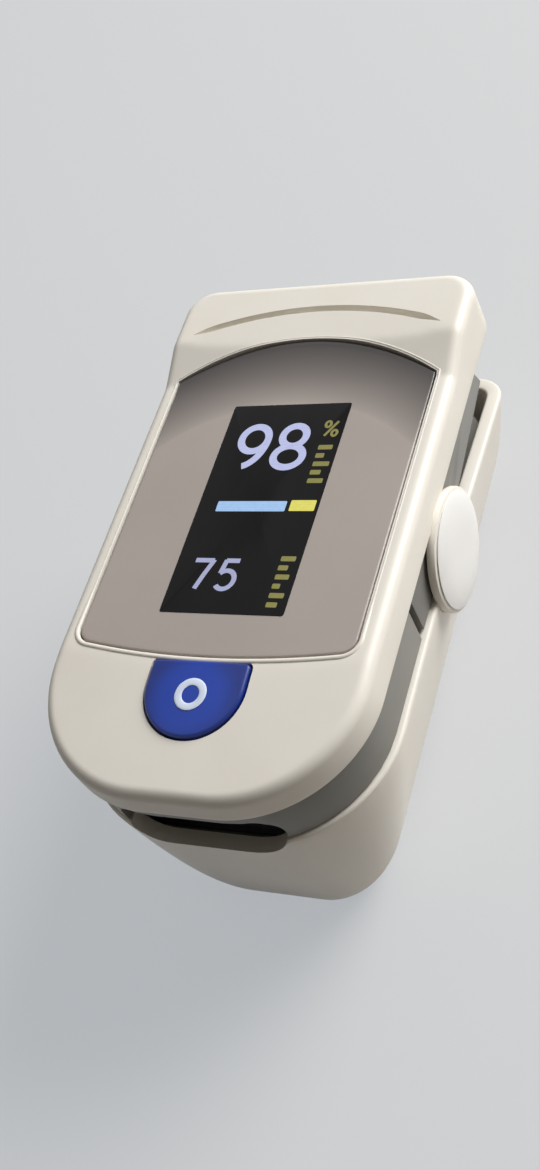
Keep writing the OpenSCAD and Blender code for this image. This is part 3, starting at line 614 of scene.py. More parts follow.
def flex_finish():
    """Flat cable: amber film over parallel copper tracks."""
    made, place = finish("flex_film", Coat_Weight=0.4, Coat_Roughness=0.15)
    amber, copper = (0.34, 0.13, 0.02, 1), (0.62, 0.3, 0.08, 1)
    track = place.axes()[0].waves(0.62 * MM).over(-0.1, 0.5)
    cloud = place.noise(700.0, 3.0)
    return fed(made, Base_Color=(track * 0.8 + cloud * 0.2).mix(amber, copper),
               Roughness=0.28 + cloud * 0.14)


def cell_finish(low, high):
    """Dry cell: printed sleeve with a copper-coloured end band, bare steel at both ends."""
    made, place = finish("cell_sleeve", Coat_Weight=0.3, Coat_Roughness=0.12)
    share = (place.axes()[1] - low * MM) / ((high - low) * MM)
    band = share.over(0.7, 0.705)
    bare = (share.over(0.965, 0.968) + (1 - share.over(0.024, 0.027))).clamped()
    scuff = place.stretched(1.0, 0.2, 1.0).noise(900.0, 4.0)
    sleeve = band.mix((0.03, 0.032, 0.036, 1), (0.5, 0.24, 0.07, 1))
    worn = (scuff.over(0.62, 0.8) * 0.3).mix(sleeve, (0.3, 0.3, 0.3, 1))
    return fed(made, Base_Color=bare.mix(worn, (0.6, 0.6, 0.62, 1)), Metallic=bare,
               Roughness=0.24 + scuff * 0.2)


def window_finish(name, colour):
    """Tinted light window: clear plastic with a slight haze."""
    made, place = finish(name, Transmission_Weight=0.35, IOR=1.49)
    haze = place.noise(900.0, 4.0)
    return fed(made, Base_Color=haze.mix(shade(colour, 0.8), opaque(colour)), Roughness=0.1 + haze * 0.14)


def floor_finish(colour, pale):
    """Studio floor: pale matt sheet with the faintest unevenness, which the camera and gloss see half
    lit from within, so that it stays pale under the object's shadow."""
    made, place = finish("studio_floor", Specular_IOR_Level=0.2)
    cloud = place.noise(6.0, 3.0)
    fed(made, Base_Color=cloud.mix(shade(colour, 0.985), opaque(colour)), Roughness=0.75 + cloud * 0.1)
    glow = place.node("ShaderNodeEmission", None, {"Color": opaque(pale)})
    tree = made.node_tree
    matt = Wire(tree, shader_of(made).outputs[0])
    blend = place.node("ShaderNodeMixShader", None, {0: seen(tree) * 0.5, 1: matt, 2: glow})
    tree.links.new(blend.socket, tree.nodes["Material Output"].inputs["Surface"])
    return made


def seen(tree):
    """1 for rays from the camera, from gloss and through glass, and 0 for the light on the object."""
    rays = Wire(tree).node("ShaderNodeLightPath").socket.node.outputs
    kinds = ("Camera", "Glossy", "Transmission")
    first, second, third = (Wire(tree, rays[f"Is {kind} Ray"]) for kind in kinds)
    return (first + second + third).clamped()


# Shapes of the upper jaw

def arc_radius(half, rise):
    """Radius of an arc from half its chord and its rise."""
    return (half ** 2 + rise ** 2) / (2 * rise)


LENS_HALF, LENS_ARCH, LENS_BOW, LENS_CORNER = PANEL_HIGH[0], 4.0, 1.2, 1.5
LENS_ARCH_R, LENS_BOW_R = arc_radius(LENS_HALF, LENS_ARCH), arc_radius(LENS_HALF, LENS_BOW)
LENS_ARCH_Y, LENS_BOW_Y = PANEL_HIGH[1] - LENS_ARCH_R, PANEL_LOW[1] + LENS_BOW_R
LENS_FIT = 0.15
GROOVE_R, GROOVE_Y = 36.35, -11.35
BUTTON = {"half": 4.9, "front": -23.4, "rear": -16.0, "nose_r": 4.88, "tail_r": 0.5}
BUTTON_Y = -19.6


def top_height(s, x, y):
    """Height of the upper shell's top: the display plane, less the deck's slope past a soft crease bowed
    like the lens, plus the shoulder, which rises with a hollow foot to the raised bar and meets it in a
    small round. In front of the thumb groove's arch the bar's top falls gently towards the shoulder."""
    crease_soft, crease_set, bar_soft, bar_fall = 0.25, 0.9, 0.05, 0.06
    fall_half, fall_fade = 14.2, 2.0
    crease = s.nose_y - crease_set + LENS_BOW * (x / LENS_HALF) ** 2
    ahead = crease_soft * np.logaddexp(0, (crease - y) / crease_soft)
    t = np.clip((y - s.ramp_y) / (s.bar_y - s.ramp_y), 0, 2)
    rise = (s.bar_z - s.deck_z) * t ** 1.05
    groove_y = GROOVE_Y + np.sqrt(np.maximum(GROOVE_R ** 2 - x ** 2, 0))
    fall = bar_fall * np.maximum(groove_y - y, 0) * smooth(fall_half - np.abs(x), 0, fall_fade)
    most = s.bar_z - s.deck_z - fall
    ramp = -bar_soft * np.logaddexp(-rise / bar_soft, -most / bar_soft)
    ramp = np.where(t > 0, np.maximum(ramp, 0), 0)
    return s.deck_z - s.nose_fall / s.nose_len * ahead + ramp


def lens_outline(grow):
    """Plan of the display lens, grown by a margin: a slightly bowed front end, two round corners,
    straight sides and a high arch at the rear."""
    corner_x, bow_in = LENS_HALF - LENS_CORNER, LENS_BOW_R - LENS_CORNER
    corner_y = LENS_BOW_Y - math.sqrt(bow_in ** 2 - corner_x ** 2)
    turn = math.degrees(math.asin(corner_x / bow_in))
    lift = math.degrees(math.acos((LENS_HALF + grow) / (LENS_ARCH_R + grow)))
    front = arc(0, LENS_BOW_Y, LENS_BOW_R + grow, -90 - turn, -90 + turn, 60)
    right = arc(corner_x, corner_y, LENS_CORNER + grow, turn - 88, 0, 14)
    rear = arc(0, LENS_ARCH_Y, LENS_ARCH_R + grow, lift, 180 - lift, 80)
    left = (right * [-1, 1])[::-1]
    share = steps(0, 1, 40)[1:-1]
    return np.vstack([front, right, right[-1] + (rear[0] - right[-1]) * share, rear,
                      rear[-1] + (left[0] - rear[-1]) * share, left])


def button_plan(grow):
    """Plan of the half-moon button, grown by a margin: x and y of its points."""
    return Ring(corner=28, side=8, end=10).points(**BUTTON, inset=-grow)


def upper_skin(s):
    """The upper shell before its cuts: rows across the top at z = top_height(x, y), a quarter-round edge,
    the wall, its rounded foot, the inner wall and the roof's underside, closed on one point."""
    half, edge, nose, tail, foot = s.half_width, s.edge_r, s.nose_r, s.tail_r, s.seam_z
    foot_r, foot_cut = 0.2, 0.1
    a, b = angles(-90, 0, 30)[:, 0], angles(0, 90, 10)[:, 0]
    mid = np.linspace(s.front + nose, s.rear - tail, 130)[1:-1]
    nx = np.concatenate([np.cos(a), np.ones(len(mid)), np.cos(b)])
    ny = np.concatenate([np.sin(a), np.zeros(len(mid)), np.sin(b)])
    x = np.concatenate([half - nose + (nose - edge) * np.cos(a), np.full(len(mid), half - edge),
                        half - tail + (tail - edge) * np.cos(b)])
    y = np.concatenate([s.front + nose + (nose - edge) * np.sin(a), mid,
                        s.rear - tail + (tail - edge) * np.sin(b)])[:, None]
    across = x[:, None] * np.linspace(-1, 1, 73)
    top = stacked(across, y, top_height(s, across, y))
    index = np.arange(across.size).reshape(across.shape)
    loop = np.concatenate([index[:, -1], index[-1, -2:0:-1], index[::-1, 0], index[0, 1:-1]])
    start = top.reshape(-1, 3)[loop]
    level = np.zeros(across.shape[1] - 2)
    out_x = np.concatenate([nx, level, -nx[::-1], level])
    out_y = np.concatenate([ny, level + 1, ny[::-1], level - 1])

    def rings(reach, z):
        """Rings that reach out from the rows' ends."""
        return stacked(start[:, 0] + reach * out_x, start[:, 1] + reach * out_y, z)

    turn, bend = angles(90, 0, 9)[1:], angles(0, 90, 5)[1:]
    edge_z = start[:, 2] - edge * (1 - np.sin(turn))
    wall_z = edge_z[-1] + (foot + foot_r - edge_z[-1]) * steps(0, 1, 7)[1:]
    skirt = np.concatenate([
        rings(edge * np.cos(turn), edge_z),
        rings(edge, wall_z),
        rings(edge - foot_r * (1 - np.cos(bend)), foot + foot_r * (1 - np.sin(bend))),
        rings(edge - s.shell_t + column(foot_cut, 0, 0), column(foot, foot + foot_cut, s.roof_z))])
    verts = np.vstack([top.reshape(-1, 3), skirt.reshape(-1, 3), [[0, 0, s.roof_z]]])
    ids = index.size + np.arange(len(skirt) * len(loop)).reshape(-1, len(loop))
    pole = np.full(len(loop), len(verts) - 1)
    faces = quads(index) + turned_over(strips(loop[None], ids[:1]) + strips(ids[:-1], ids[1:]))
    faces += np.stack([np.roll(ids[-1], -1), ids[-1], pole], -1).tolist()
    return verts, closed_faces(verts, faces)


def thumb_groove(s):
    """The arched groove in the raised bar: an upright oval carried along an arc, fading at both ends."""
    half_turn, half_wide, deep = 22, 0.38, 1.1
    turn = angles(-half_turn, half_turn, 90)[:, 0]
    path = stacked(GROOVE_R * np.sin(turn), GROOVE_Y + GROOVE_R * np.cos(turn), s.bar_z)
    fade = smooth(half_turn - np.degrees(np.abs(turn)), -1.0, 4.0)
    return swept(path, oval(half_wide, deep), taper=fade)


def lens_lip(s):
    """A lip carried round the lens's outline on the shell's top, bolder at the button end."""
    out, sunk, under_bar = 0.24, 0.1, 0.26
    plan = lens_outline(LENS_FIT + out)
    z = np.minimum(top_height(s, *plan.T) - sunk, s.bar_z - under_bar)
    bold = 0.55 + 0.45 * smooth(-plan[:, 1], 8, 13)
    return swept(np.column_stack([plan, z]), oval(0.26, 0.24), taper=bold, loop=True)


def lens_skin(s):
    """Rings drawn in from the lens outline to its middle; the top lies in the display plane and hollows
    upward to the arch as the power 1.8 of the distance past the scoop's foot."""
    foot_y, scoop, lift, round_r, seat_gap = 15.4, 5.6, 1.0, 0.2, 0.02
    plan = lens_outline(0.0)
    mid = np.array([0, 2])
    away = plan - mid
    unit = away / np.linalg.norm(away, axis=1)[:, None]

    def top(y):
        return s.deck_z + lift * np.clip((y - foot_y) / scoop, 0, 1) ** 1.8

    brink = top(plan[:, 1])
    low = mid + away * np.concatenate([np.linspace(0.1, 1, 6), np.ones(2)])[:, None, None]
    under = stacked(low[..., 0], low[..., 1], s.ledge_z + seat_gap)
    under[-1, :, 2] = brink - round_r
    a = angles(15, 90, 5)
    edge = plan - unit * (round_r * (1 - np.cos(a)))[..., None]
    rim = stacked(edge[..., 0], edge[..., 1], brink - round_r * (1 - np.sin(a)))
    flat = mid + (plan - unit * round_r - mid) * steps(0.985, 0.03, 46)[..., None] ** 0.9
    face = stacked(flat[..., 0], flat[..., 1], top(flat[..., 1]))
    return loft(np.concatenate([under, rim, face]))


def plate(half_x, y0, y1, z0, z1, corner):
    """A thin plate with round corners and a softened top edge."""
    inset = column(0, 0, 0.01, 0.04)
    x, y = Ring(corner=6, side=8, end=6).points(half_x, y0, y1, corner, corner, inset)
    return loft(stacked(x, y, column(z0, z1 - 0.03, z1 - 0.01, z1)))


def figure_paths():
    """Strokes of the figures 9, 8, 7 and 5 and of the percent sign in a unit box, each with whether it
    closes: full ovals, bows of ovals, and lines."""
    def full(x, y, a, b, count):
        return oval(a, b, count) + [x, y], True

    def bow(x, y, a, b, start, end, count):
        return arc(0, 0, 1, start, end, count) * [a, b] + [x, y], False

    def line(*points):
        corner = np.array(points, float)
        last = len(corner) - 1
        t = np.linspace(0, last, 14 * last + 1)
        return np.stack([np.interp(t, np.arange(last + 1), corner[:, k]) for k in (0, 1)], -1), False

    return {
        "9": [full(0.48, 0.67, 0.36, 0.27, 48), bow(0.24, 0.67, 0.60, 0.61, 0, -78, 30)],
        "8": [full(0.5, 0.72, 0.31, 0.22, 44), full(0.5, 0.27, 0.38, 0.23, 44)],
        "7": [line((0.08, 0.93), (0.86, 0.93)), line((0.86, 0.95), (0.62, 0.5), (0.42, 0.05))],
        "5": [line((0.82, 0.93), (0.28, 0.93)), line((0.3, 0.95), (0.2, 0.54)),
              bow(0.46, 0.34, 0.36, 0.28, 138, -142, 40)],
        "%": [full(0.24, 0.76, 0.16, 0.17, 20), full(0.76, 0.24, 0.16, 0.17, 20),
              line((0.82, 0.92), (0.18, 0.08))]}


def button_crown(s, x, y):
    """Height of the button's top: the deck's slope plus a slight dome about the button's middle."""
    dome, half_x, half_y = 0.12, 4.9, 3.9
    far = (x / half_x) ** 2 + ((y - BUTTON_Y) / half_y) ** 2
    slope = s.deck_z - s.nose_fall / s.nose_len * (s.nose_y - y) + s.button_lift
    return slope + dome * (1 - np.minimum(far, 1.6))


def button_skin(s):
    """The button: a wider flange under the shell, the neck, a rounded edge and the crowned top."""
    flange_out, flange_t, edge_r = 0.7, 0.35, 0.35
    low = box("power_button")[0][2]
    x, y = button_plan(0.0)
    wide = button_plan(flange_out)
    in_x, in_y = button_plan(-edge_r)
    a = angles(0, 90, 7)
    draw = 1 - np.cos(a)
    top = drawn_in(in_x, in_y, BUTTON_Y, steps(0.97, 0.04, 22))
    return loft(np.concatenate([
        stacked(*drawn_in(*wide, BUTTON_Y, column(0.1, 0.5, 1.0)), low),
        stacked(*wide, column(low + flange_t)),
        stacked(x, y, column(low + flange_t)),
        stacked(x + (in_x - x) * draw, y + (in_y - y) * draw,
                button_crown(s, in_x, in_y) - edge_r * (1 - np.sin(a))),
        stacked(*top, button_crown(s, *top))]))


def button_ring(s):
    """The ring on the button: a flat oval carried along a circle that lies on the crown."""
    ring_r, ring_y, proud = 1.2, -19.4, 0.02
    x, y = (oval(ring_r, ring_r, 64) + [0, ring_y]).T
    return swept(stacked(x, y, button_crown(s, x, y) + proud), oval(0.36, 0.05), loop=True)


# Shapes of the lower jaw

JAW_IN, BOW_RAKE, STERN_RAKE, KEEL_R = 0.3, 3.6, 2.0, 5.0
RIM_FALL, RIM_KNEE = math.tan(math.radians(8.4)), 1.51
EAR_IN, LUG_ROOM_R = 15.65, 4.1
LANYARD_X, LANYARD_Z, LANYARD_R = 9.0, 13.385, 1.2
COVER_Y, COVER_Z = -15.954, 4.4
# How far cutters reach past the part
PAST_SIDE, PAST_REAR, PAST_TOP = 20.0, 40.0, 50.0


def hull_plan(ring, z, inset, s):
    """Plan of the lower shell at height z, drawn in by inset. With h = z over the rim height, the half
    width is keel + (half - keel) h^0.5, the finger end rakes back by BOW_RAKE (1 - h^0.7), the squeeze
    end by STERN_RAKE (1 - h^0.25), and the nose radius grows evenly with h."""
    h = np.maximum(z, 0) / s.part_z
    half = s.keel_half + (s.half_width - s.keel_half) * h ** 0.5
    front = s.front + JAW_IN + BOW_RAKE * (1 - h ** 0.7)
    rear = s.rear - JAW_IN - STERN_RAKE * (1 - h ** 0.25)
    nose_r = KEEL_R + (s.nose_r - KEEL_R) * h
    return ring.points(half, front, rear, nose_r, s.tail_r, inset)


def rim_height(s, y):
    """Height of the lower shell's rim: level at the finger end, falling evenly past its knee."""
    return s.part_z - np.maximum(y - RIM_KNEE, 0) * RIM_FALL


def hull_skin(s):
    """The hollow lower shell before its cuts: a flat keel, the flared outer side up to the rim, a rounded
    rim as wide as the wall, the inner side drawn in by the wall, and the floor."""
    ring = Ring(corner=22, side=56, end=14)
    wall, round_r, floor = s.hull_t, 0.35, 1.5
    keel = hull_plan(ring, np.zeros(1), 0, s)
    mid_y = keel[1].mean()
    brink = rim_height(s, hull_plan(ring, np.full(1, s.part_z), 0, s)[1]) - round_r
    base = stacked(*drawn_in(*keel, mid_y, steps(0.08, 0.94, 10)), 0)
    out_z = brink * steps(0, 1, 44) ** 2.3
    outer = stacked(*hull_plan(ring, out_z, 0, s), out_z)
    a = angles(0, 180, 13)[1:-1]
    lip_in = np.where(a < math.pi / 2, round_r * (1 - np.cos(a)), wall - round_r * (1 + np.cos(a)))
    lip = stacked(*hull_plan(ring, brink + 0 * a, lip_in, s), brink + round_r * np.sin(a))
    in_z = floor + (brink - floor) * steps(1, 0, 26) ** 1.6
    inner = stacked(*hull_plan(ring, in_z, wall, s), in_z)
    bed = stacked(*drawn_in(*inner[-1, :, :2].T, mid_y, steps(0.94, 0.08, 8)), floor)
    return loft(np.concatenate([base, outer, lip, inner, bed]))


def cover_block(gap):
    """The space of the battery cover, with a gap round its front and top."""
    return block(-PAST_SIDE, PAST_SIDE, COVER_Y - gap, PAST_REAR, -5, COVER_Z + gap)


def finger_mouth(s):
    """The finger mouth: a stadium in x and z carried along y."""
    r, half, mid_z, ahead, deep = 2.7, 5.5, s.part_z + 1.1, 2.0, 7.0
    x, z = np.vstack([arc(half, mid_z, r, -90, 90, 20), arc(-half, mid_z, r, 90, 270, 20)]).T
    return loft(stacked(x, column(s.front - ahead, s.front + deep), z))


def lanyard_hole():
    """A round hole through the squeeze end, along y."""
    x, z = (oval(LANYARD_R, LANYARD_R, 40) + [LANYARD_X, LANYARD_Z]).T
    return loft(stacked(x, column(22, 32), z))


def above_rim(s):
    """All the space over the lower shell's rim: a plan in y and z carried along x."""
    start, high = s.pivot_y - 30, 60.0
    y, z = np.array([[start, s.part_z], [RIM_KNEE, s.part_z], [PAST_REAR, rim_height(s, PAST_REAR)],
                     [PAST_REAR, high], [start, high]]).T
    return loft(stacked(column(-PAST_SIDE, PAST_SIDE), y, z))


def ear_web(s):
    """The webs that join the hinge ears to the hull: drums along the hinge, cut off at the rim."""
    web_in, overlap = 13.2, 0.02
    web = drum(web_in, EAR_IN + overlap, s.ear_r, (s.pivot_y, s.pivot_z), 96)
    made = carved(raw("ear_web", mirrored(web)), ("DIFFERENCE", above_rim(s)))
    skin = points_of(made), [list(face.vertices) for face in made.data.polygons]
    bpy.data.objects.remove(made)
    return skin


def ear_disc(s):
    """The right hinge ear: a disc about the hinge with softened edges."""
    soft, pole, r, out = 0.25, 1.0, s.ear_r, CAP_LOW[0]
    slight = 0.3 * soft
    return turned([(EAR_IN, pole), (EAR_IN, r - soft), (EAR_IN + slight, r - slight),
                   (EAR_IN + soft, r), (out - soft, r), (out - slight, r - slight),
                   (out, r - soft), (out, pole)], (s.pivot_y, s.pivot_z), 96)


def cap_dome(s):
    """The right hinge cap, a shallow dome turned about the hinge: x falls with the fourth power of the
    radius."""
    low, high, r = CAP_LOW[0], CAP_HIGH[0], CAP_HIGH[1] - s.pivot_y
    share = np.concatenate([np.linspace(0.02, 0.9, 16), np.linspace(0.92, 1, 8)])
    along = np.concatenate([(high - low) * (1 - share ** 4 * 0.75), [0.1, 0, 0]])
    radius = np.concatenate([r * share, [r, 0.98 * r, 0.2]])
    return turned(np.stack([low + along, radius], -1), (s.pivot_y, s.pivot_z), 96)


def spring_wire(s):
    """The right spring: a helix about the hinge with its lower leg, and the upper leg, each a straight
    run from an end of the helix."""
    turns, pitch, r, start_x, wire_r = 4.5, 0.72, 2.3, 12.25, 0.35
    leg_y, low_z, top_z = s.pivot_y + 7.5, 14.15, 22.15
    a = np.linspace(0, 2 * math.pi * turns, 200)
    helix = stacked(start_x - pitch * a / (2 * math.pi), s.pivot_y + r * np.sin(a),
                    s.pivot_z + r * np.cos(a))
    low_end = np.array([helix[-1, 0], leg_y, low_z])
    top_end = np.array([start_x, leg_y, top_z])
    low = np.vstack([helix, helix[-1] + (low_end - helix[-1]) * steps(0, 1, 12)[1:]])
    top = helix[0] + (top_end - helix[0]) * steps(0, 1, 14)
    return [swept(path, oval(wire_r, wire_r, 12), up=(1, 0.2, 0.1)) for path in (low, top)]


def pad_skin(low, high, facing):
    """A plate with soft edges whose finger side is hollowed as x squared and ribbed as a sine of y."""
    hollow, rib, rib_pitch, edge_fall, edge_w = 0.3, 0.16, 1.5, 0.35, 0.7
    x, y = np.meshgrid(np.linspace(low[0], high[0], 41), np.linspace(low[1], high[1], 121))
    edge = np.minimum(np.minimum(x - low[0], high[0] - x), np.minimum(y - low[1], high[1] - y))
    ribs = 0.5 + 0.5 * np.sin(2 * math.pi * y / rib_pitch)
    dip = (1 - (x / high[0]) ** 2) * hollow + rib * ribs + edge_fall * (1 - smooth(edge, 0, edge_w))
    face, back = (high[2] - dip, low[2]) if facing > 0 else (low[2] + dip, high[2])
    verts = np.vstack([stacked(x, y, z).reshape(-1, 3) for z in (face, back)])
    index = np.arange(x.size).reshape(x.shape)
    loop = np.concatenate([index[0, :-1], index[:-1, -1], index[-1, :0:-1], index[:0:-1, 0]])
    faces = quads(index) + turned_over(quads(index + x.size) + strips(loop, loop + x.size))
    return verts, closed_faces(verts, faces)


def stop_skin(low, high):
    """The finger stop: a round-cornered lip in x and z carried along y, with softened ends."""
    soft, softer, corner = 0.25, 0.07, 0.6
    mid = (low[2] + high[2]) / 2
    inset = column(soft, softer, 0, 0, softer, soft)
    deep = column(low[1], low[1] + softer, low[1] + soft, high[1] - soft, high[1] - softer, high[1])
    ring = Ring(corner=8, side=6, end=30)
    x, z = ring.points(high[0], low[2] - mid, high[2] - mid, corner, corner, inset)
    return loft(stacked(x, deep, z + mid))


# Operators

class OXIMETER_OT_upper_shell(bpy.types.Operator):
    """Makes the white upper shell and the lip round its display"""
    bl_idname = "oximeter.upper_shell"
    bl_label = "Upper Shell"

    def execute(self, context):
        s, c = sizes(context), context.scene.oximeter_colours
        button_gap, button_low = 0.2, 20.0
        # The shell finish paints shade on the upper wall towards the seam
        white = shell_finish("shell_upper", c.white, s.seam_z - 1.5, s.seam_z + 2.5)
        made = carved(
            raw("upper_shell_skin", upper_skin(s)),
            ("DIFFERENCE", prism(lens_outline(LENS_FIT), s.ledge_z, PAST_TOP)),
            ("DIFFERENCE", prism(np.stack(button_plan(button_gap), -1), button_low, PAST_TOP)),
            ("DIFFERENCE", thumb_groove(s)))
        dressed(made, "upper_jaw", "shell_white", white, "upper_shell", 32)
        piece("lens_lip", lens_lip(s), "upper_jaw", "shell_white", white)
        return {"FINISHED"}


class OXIMETER_OT_display(bpy.types.Operator):
    """Makes the display lens with its scooped end, the screen glass and the lit readout"""
    bl_idname = "oximeter.display"
    bl_label = "Display"

    def execute(self, context):
        s, c = sizes(context), context.scene.oximeter_colours
        low, high = box("display_window")
        mid_y = (low[1] + high[1]) / 2
        glass_z = s.deck_z + 0.05
        ink_z, ink_half = glass_z + 0.005, 0.02
        # The lens finish paints the raised bar's shadow under the arch
        satin = lens_finish(c.lens, c.lens_painted_shadow, 7.2)
        piece("display_lens", lens_skin(s), "upper_jaw", "panel_grey", satin, "display_panel", 40)
        piece("screen_glass", plate(high[0], low[1], high[1], s.ledge_z, glass_z, 0.25),
              "upper_jaw", "screen_black", glass_finish(c.glass), "display_window")
        paths = figure_paths()

        def written(*signs):
            """Signs given as (sign, x, y, width, height, pen): their strokes as flat oval sweeps."""
            return [swept(stacked(*(path * [wide, tall] + [x, mid_y + y]).T, ink_z),
                          oval(pen / 2, ink_half, 10), loop=loop)
                    for sign, x, y, wide, tall, pen in signs for path, loop in paths[sign]]

        def bar(x0, x1, y0, y1):
            """A flat lit bar."""
            verts, faces = plate((x1 - x0) / 2, y0, y1, ink_z - ink_half, ink_z + ink_half, 0.12)
            return verts + [(x0 + x1) / 2, mid_y, 0], faces

        upper_ticks = enumerate((5.9, 5.4, 6.0, 5.2, 5.8))
        lower_ticks = enumerate((5.4, 5.8, 5.1, 5.7, 5.3, 5.8))
        spots = [(2.5 + k, x) for k, x in upper_ticks] + [(-11.4 + k, x) for k, x in lower_ticks]
        ticks = [bar(4.3, x, y, y + 0.55) for y, x in spots]
        large = written(("9", -4.7, 4.2, 4.0, 5.6, 0.78), ("8", -0.6, 4.2, 4.0, 5.6, 0.78))
        small = written(("7", -4.6, -9.8, 2.5, 3.6, 0.5), ("5", -1.9, -9.8, 2.6, 3.6, 0.5))
        percent = written(("%", 4.2, 8.0, 1.7, 2.1, 0.28))
        for name, skins, ink, colour, power in (
                ("readout_large", large, "readout_bright", c.digits, 1.0),
                ("readout_small", small, "readout_soft", c.digits, 0.75),
                ("readout_level", [bar(-4.3, 3, -0.8, 0.4)], "readout_level", c.level, 1.0),
                ("readout_marks", ticks + percent, "readout_dim", c.marks, 0.3),
                ("readout_peak", [bar(3.4, 6.0, -0.75, 0.5)], "readout_peak", c.marks, 1.0)):
            lit = lit_finish(ink, shade(colour, power))
            piece(name, joined(*skins), "upper_jaw", "screen_module", lit)
        return {"FINISHED"}


class OXIMETER_OT_button(bpy.types.Operator):
    """Makes the half-moon button and the ring on it"""
    bl_idname = "oximeter.button"
    bl_label = "Button"

    def execute(self, context):
        s, c = sizes(context), context.scene.oximeter_colours
        # The button finish paints shade towards the button's rim
        blue = button_finish(c.button, c.button_rim_shade, BUTTON_Y, 4.6)
        piece("button_cap", button_skin(s), "button", "button_blue", blue, "power_button", 40)
        pale = moulded("mark_ink", c.symbol, 0.4, 0.05)
        piece("button_mark", button_ring(s), "button", "symbol_pale", pale, "button_symbol")
        return {"FINISHED"}


class OXIMETER_OT_lower_shell(bpy.types.Operator):
    """Makes the white lower shell with its hinge ears, and the battery cover cut from the same hull"""
    bl_idname = "oximeter.lower_shell"
    bl_label = "Lower Shell and Cover"

    def execute(self, context):
        s, c = sizes(context), context.scene.oximeter_colours
        cover_gap = 0.15
        grip_half, grip_r, grip_start, grip_pitch = 4.5, 0.5, 3.0, 1.6
        # The shell finish paints shade on the lower shell towards its base
        white = shell_finish("shell_lower", c.white, 0.0, 9.0)
        lug_room = drum(0, EAR_IN, LUG_ROOM_R, (s.pivot_y, s.pivot_z))
        web = ear_web(s)
        made = carved(
            raw("lower_shell_skin", hull_skin(s)),
            ("UNION", web), ("UNION", mirrored(ear_disc(s))),
            ("DIFFERENCE", mirrored(lug_room)), ("DIFFERENCE", cover_block(cover_gap)),
            ("DIFFERENCE", finger_mouth(s)), ("DIFFERENCE", lanyard_hole()))
        dressed(made, "lower_jaw", "shell_white", white, "lower_shell", 32)
        grips = [drum(-grip_half, grip_half, grip_r, (COVER_Y + grip_start + grip_pitch * k, 0), 28, 0.05)
                 for k in range(3)]
        cover = carved(raw("battery_cover_skin", hull_skin(s)), ("INTERSECT", cover_block(0.0)),
                       ("DIFFERENCE", joined(*grips)))
        dressed(cover, "cover", "shell_white", white, "battery_cover", 32)
        return {"FINISHED"}


class OXIMETER_OT_hinge(bpy.types.Operator):
    """Makes the hinge caps, the torsion springs and the bowed flat cable"""
    bl_idname = "oximeter.hinge"
    bl_label = "Hinge"

    def execute(self, context):
        s, c = sizes(context), context.scene.oximeter_colours
        white = moulded("cap_plastic", c.cap, 0.3, 0.06, 0.04, 0.15)
        steel = metal_finish("spring_steel", (0.62, 0.62, 0.64), (1.0, 1.0, 1.0), 0.26)
        right = [cap_dome(s), *spring_wire(s)]
        for side, (dome, coil, leg) in (("right", right), ("left", [flipped(skin) for skin in right])):
            piece(f"hinge_cap_{side}_dome", dome, "lower_jaw", "cap_white", white, f"hinge_cap_{side}", 40)
            piece(f"spring_coil_{side}", coil, "lower_jaw", "steel", steel, f"torsion_spring_{side}", 50)
            piece(f"spring_leg_{side}", leg, "upper_jaw", "steel", steel, None, 50)
        self.flat_cable()
        return {"FINISHED"}

    def flat_cable(self):
        """The flat cable: a thin ribbon along a path that bows towards the finger end as a half sine."""
        bow, half_t, back_set, held = 1.6, 0.12, 0.125, 2.0
        low, high = box("flex_cable")
        half, back = high[0], high[1] - back_set
        t = np.linspace(0, 1, 40)
        path = stacked(0, back - bow * np.sin(math.pi * t), low[2] + (high[2] - low[2]) * t)
        ribbon = np.array([[-half, -half_t], [half, -half_t], [half, half_t], [-half, half_t]])
        film = raw("flex_ribbon", swept(path, ribbon, up=(0, 1, 0)))
        dressed(film, None, "flex_amber", flex_finish(), "flex_cable", 40)
        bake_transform(film)


class OXIMETER_OT_finger_bay(bpy.types.Operator):
    """Makes the ribbed silicone pads and the finger stop"""
    bl_idname = "oximeter.finger_bay"
    bl_label = "Finger Bay"

    def execute(self, context):
        gap, past = 0.05, 5.0
        rubber = rubber_finish("pad_silicone", context.scene.oximeter_colours.rubber)
        for node, window, facing, body in (("upper_pad", "emitter_window", -1, "upper_jaw"),
                                           ("lower_pad", "detector_window", 1, "lower_jaw")):
            low, high = box(node)
            (x0, y0, _), (x1, y1, _) = box(window)
            hole = block(x0 - gap, x1 + gap, y0 - gap, y1 + gap, low[2] - past, high[2] + past)
            made = carved(raw(f"{node}_cushion", pad_skin(low, high, facing)), ("DIFFERENCE", hole))
            dressed(made, body, "pad_rubber", rubber, node, 40)
        lip = stop_skin(*box("finger_stop"))
        piece("finger_stop_lip", lip, "lower_jaw", "pad_rubber", rubber, "finger_stop", 40)
        return {"FINISHED"}


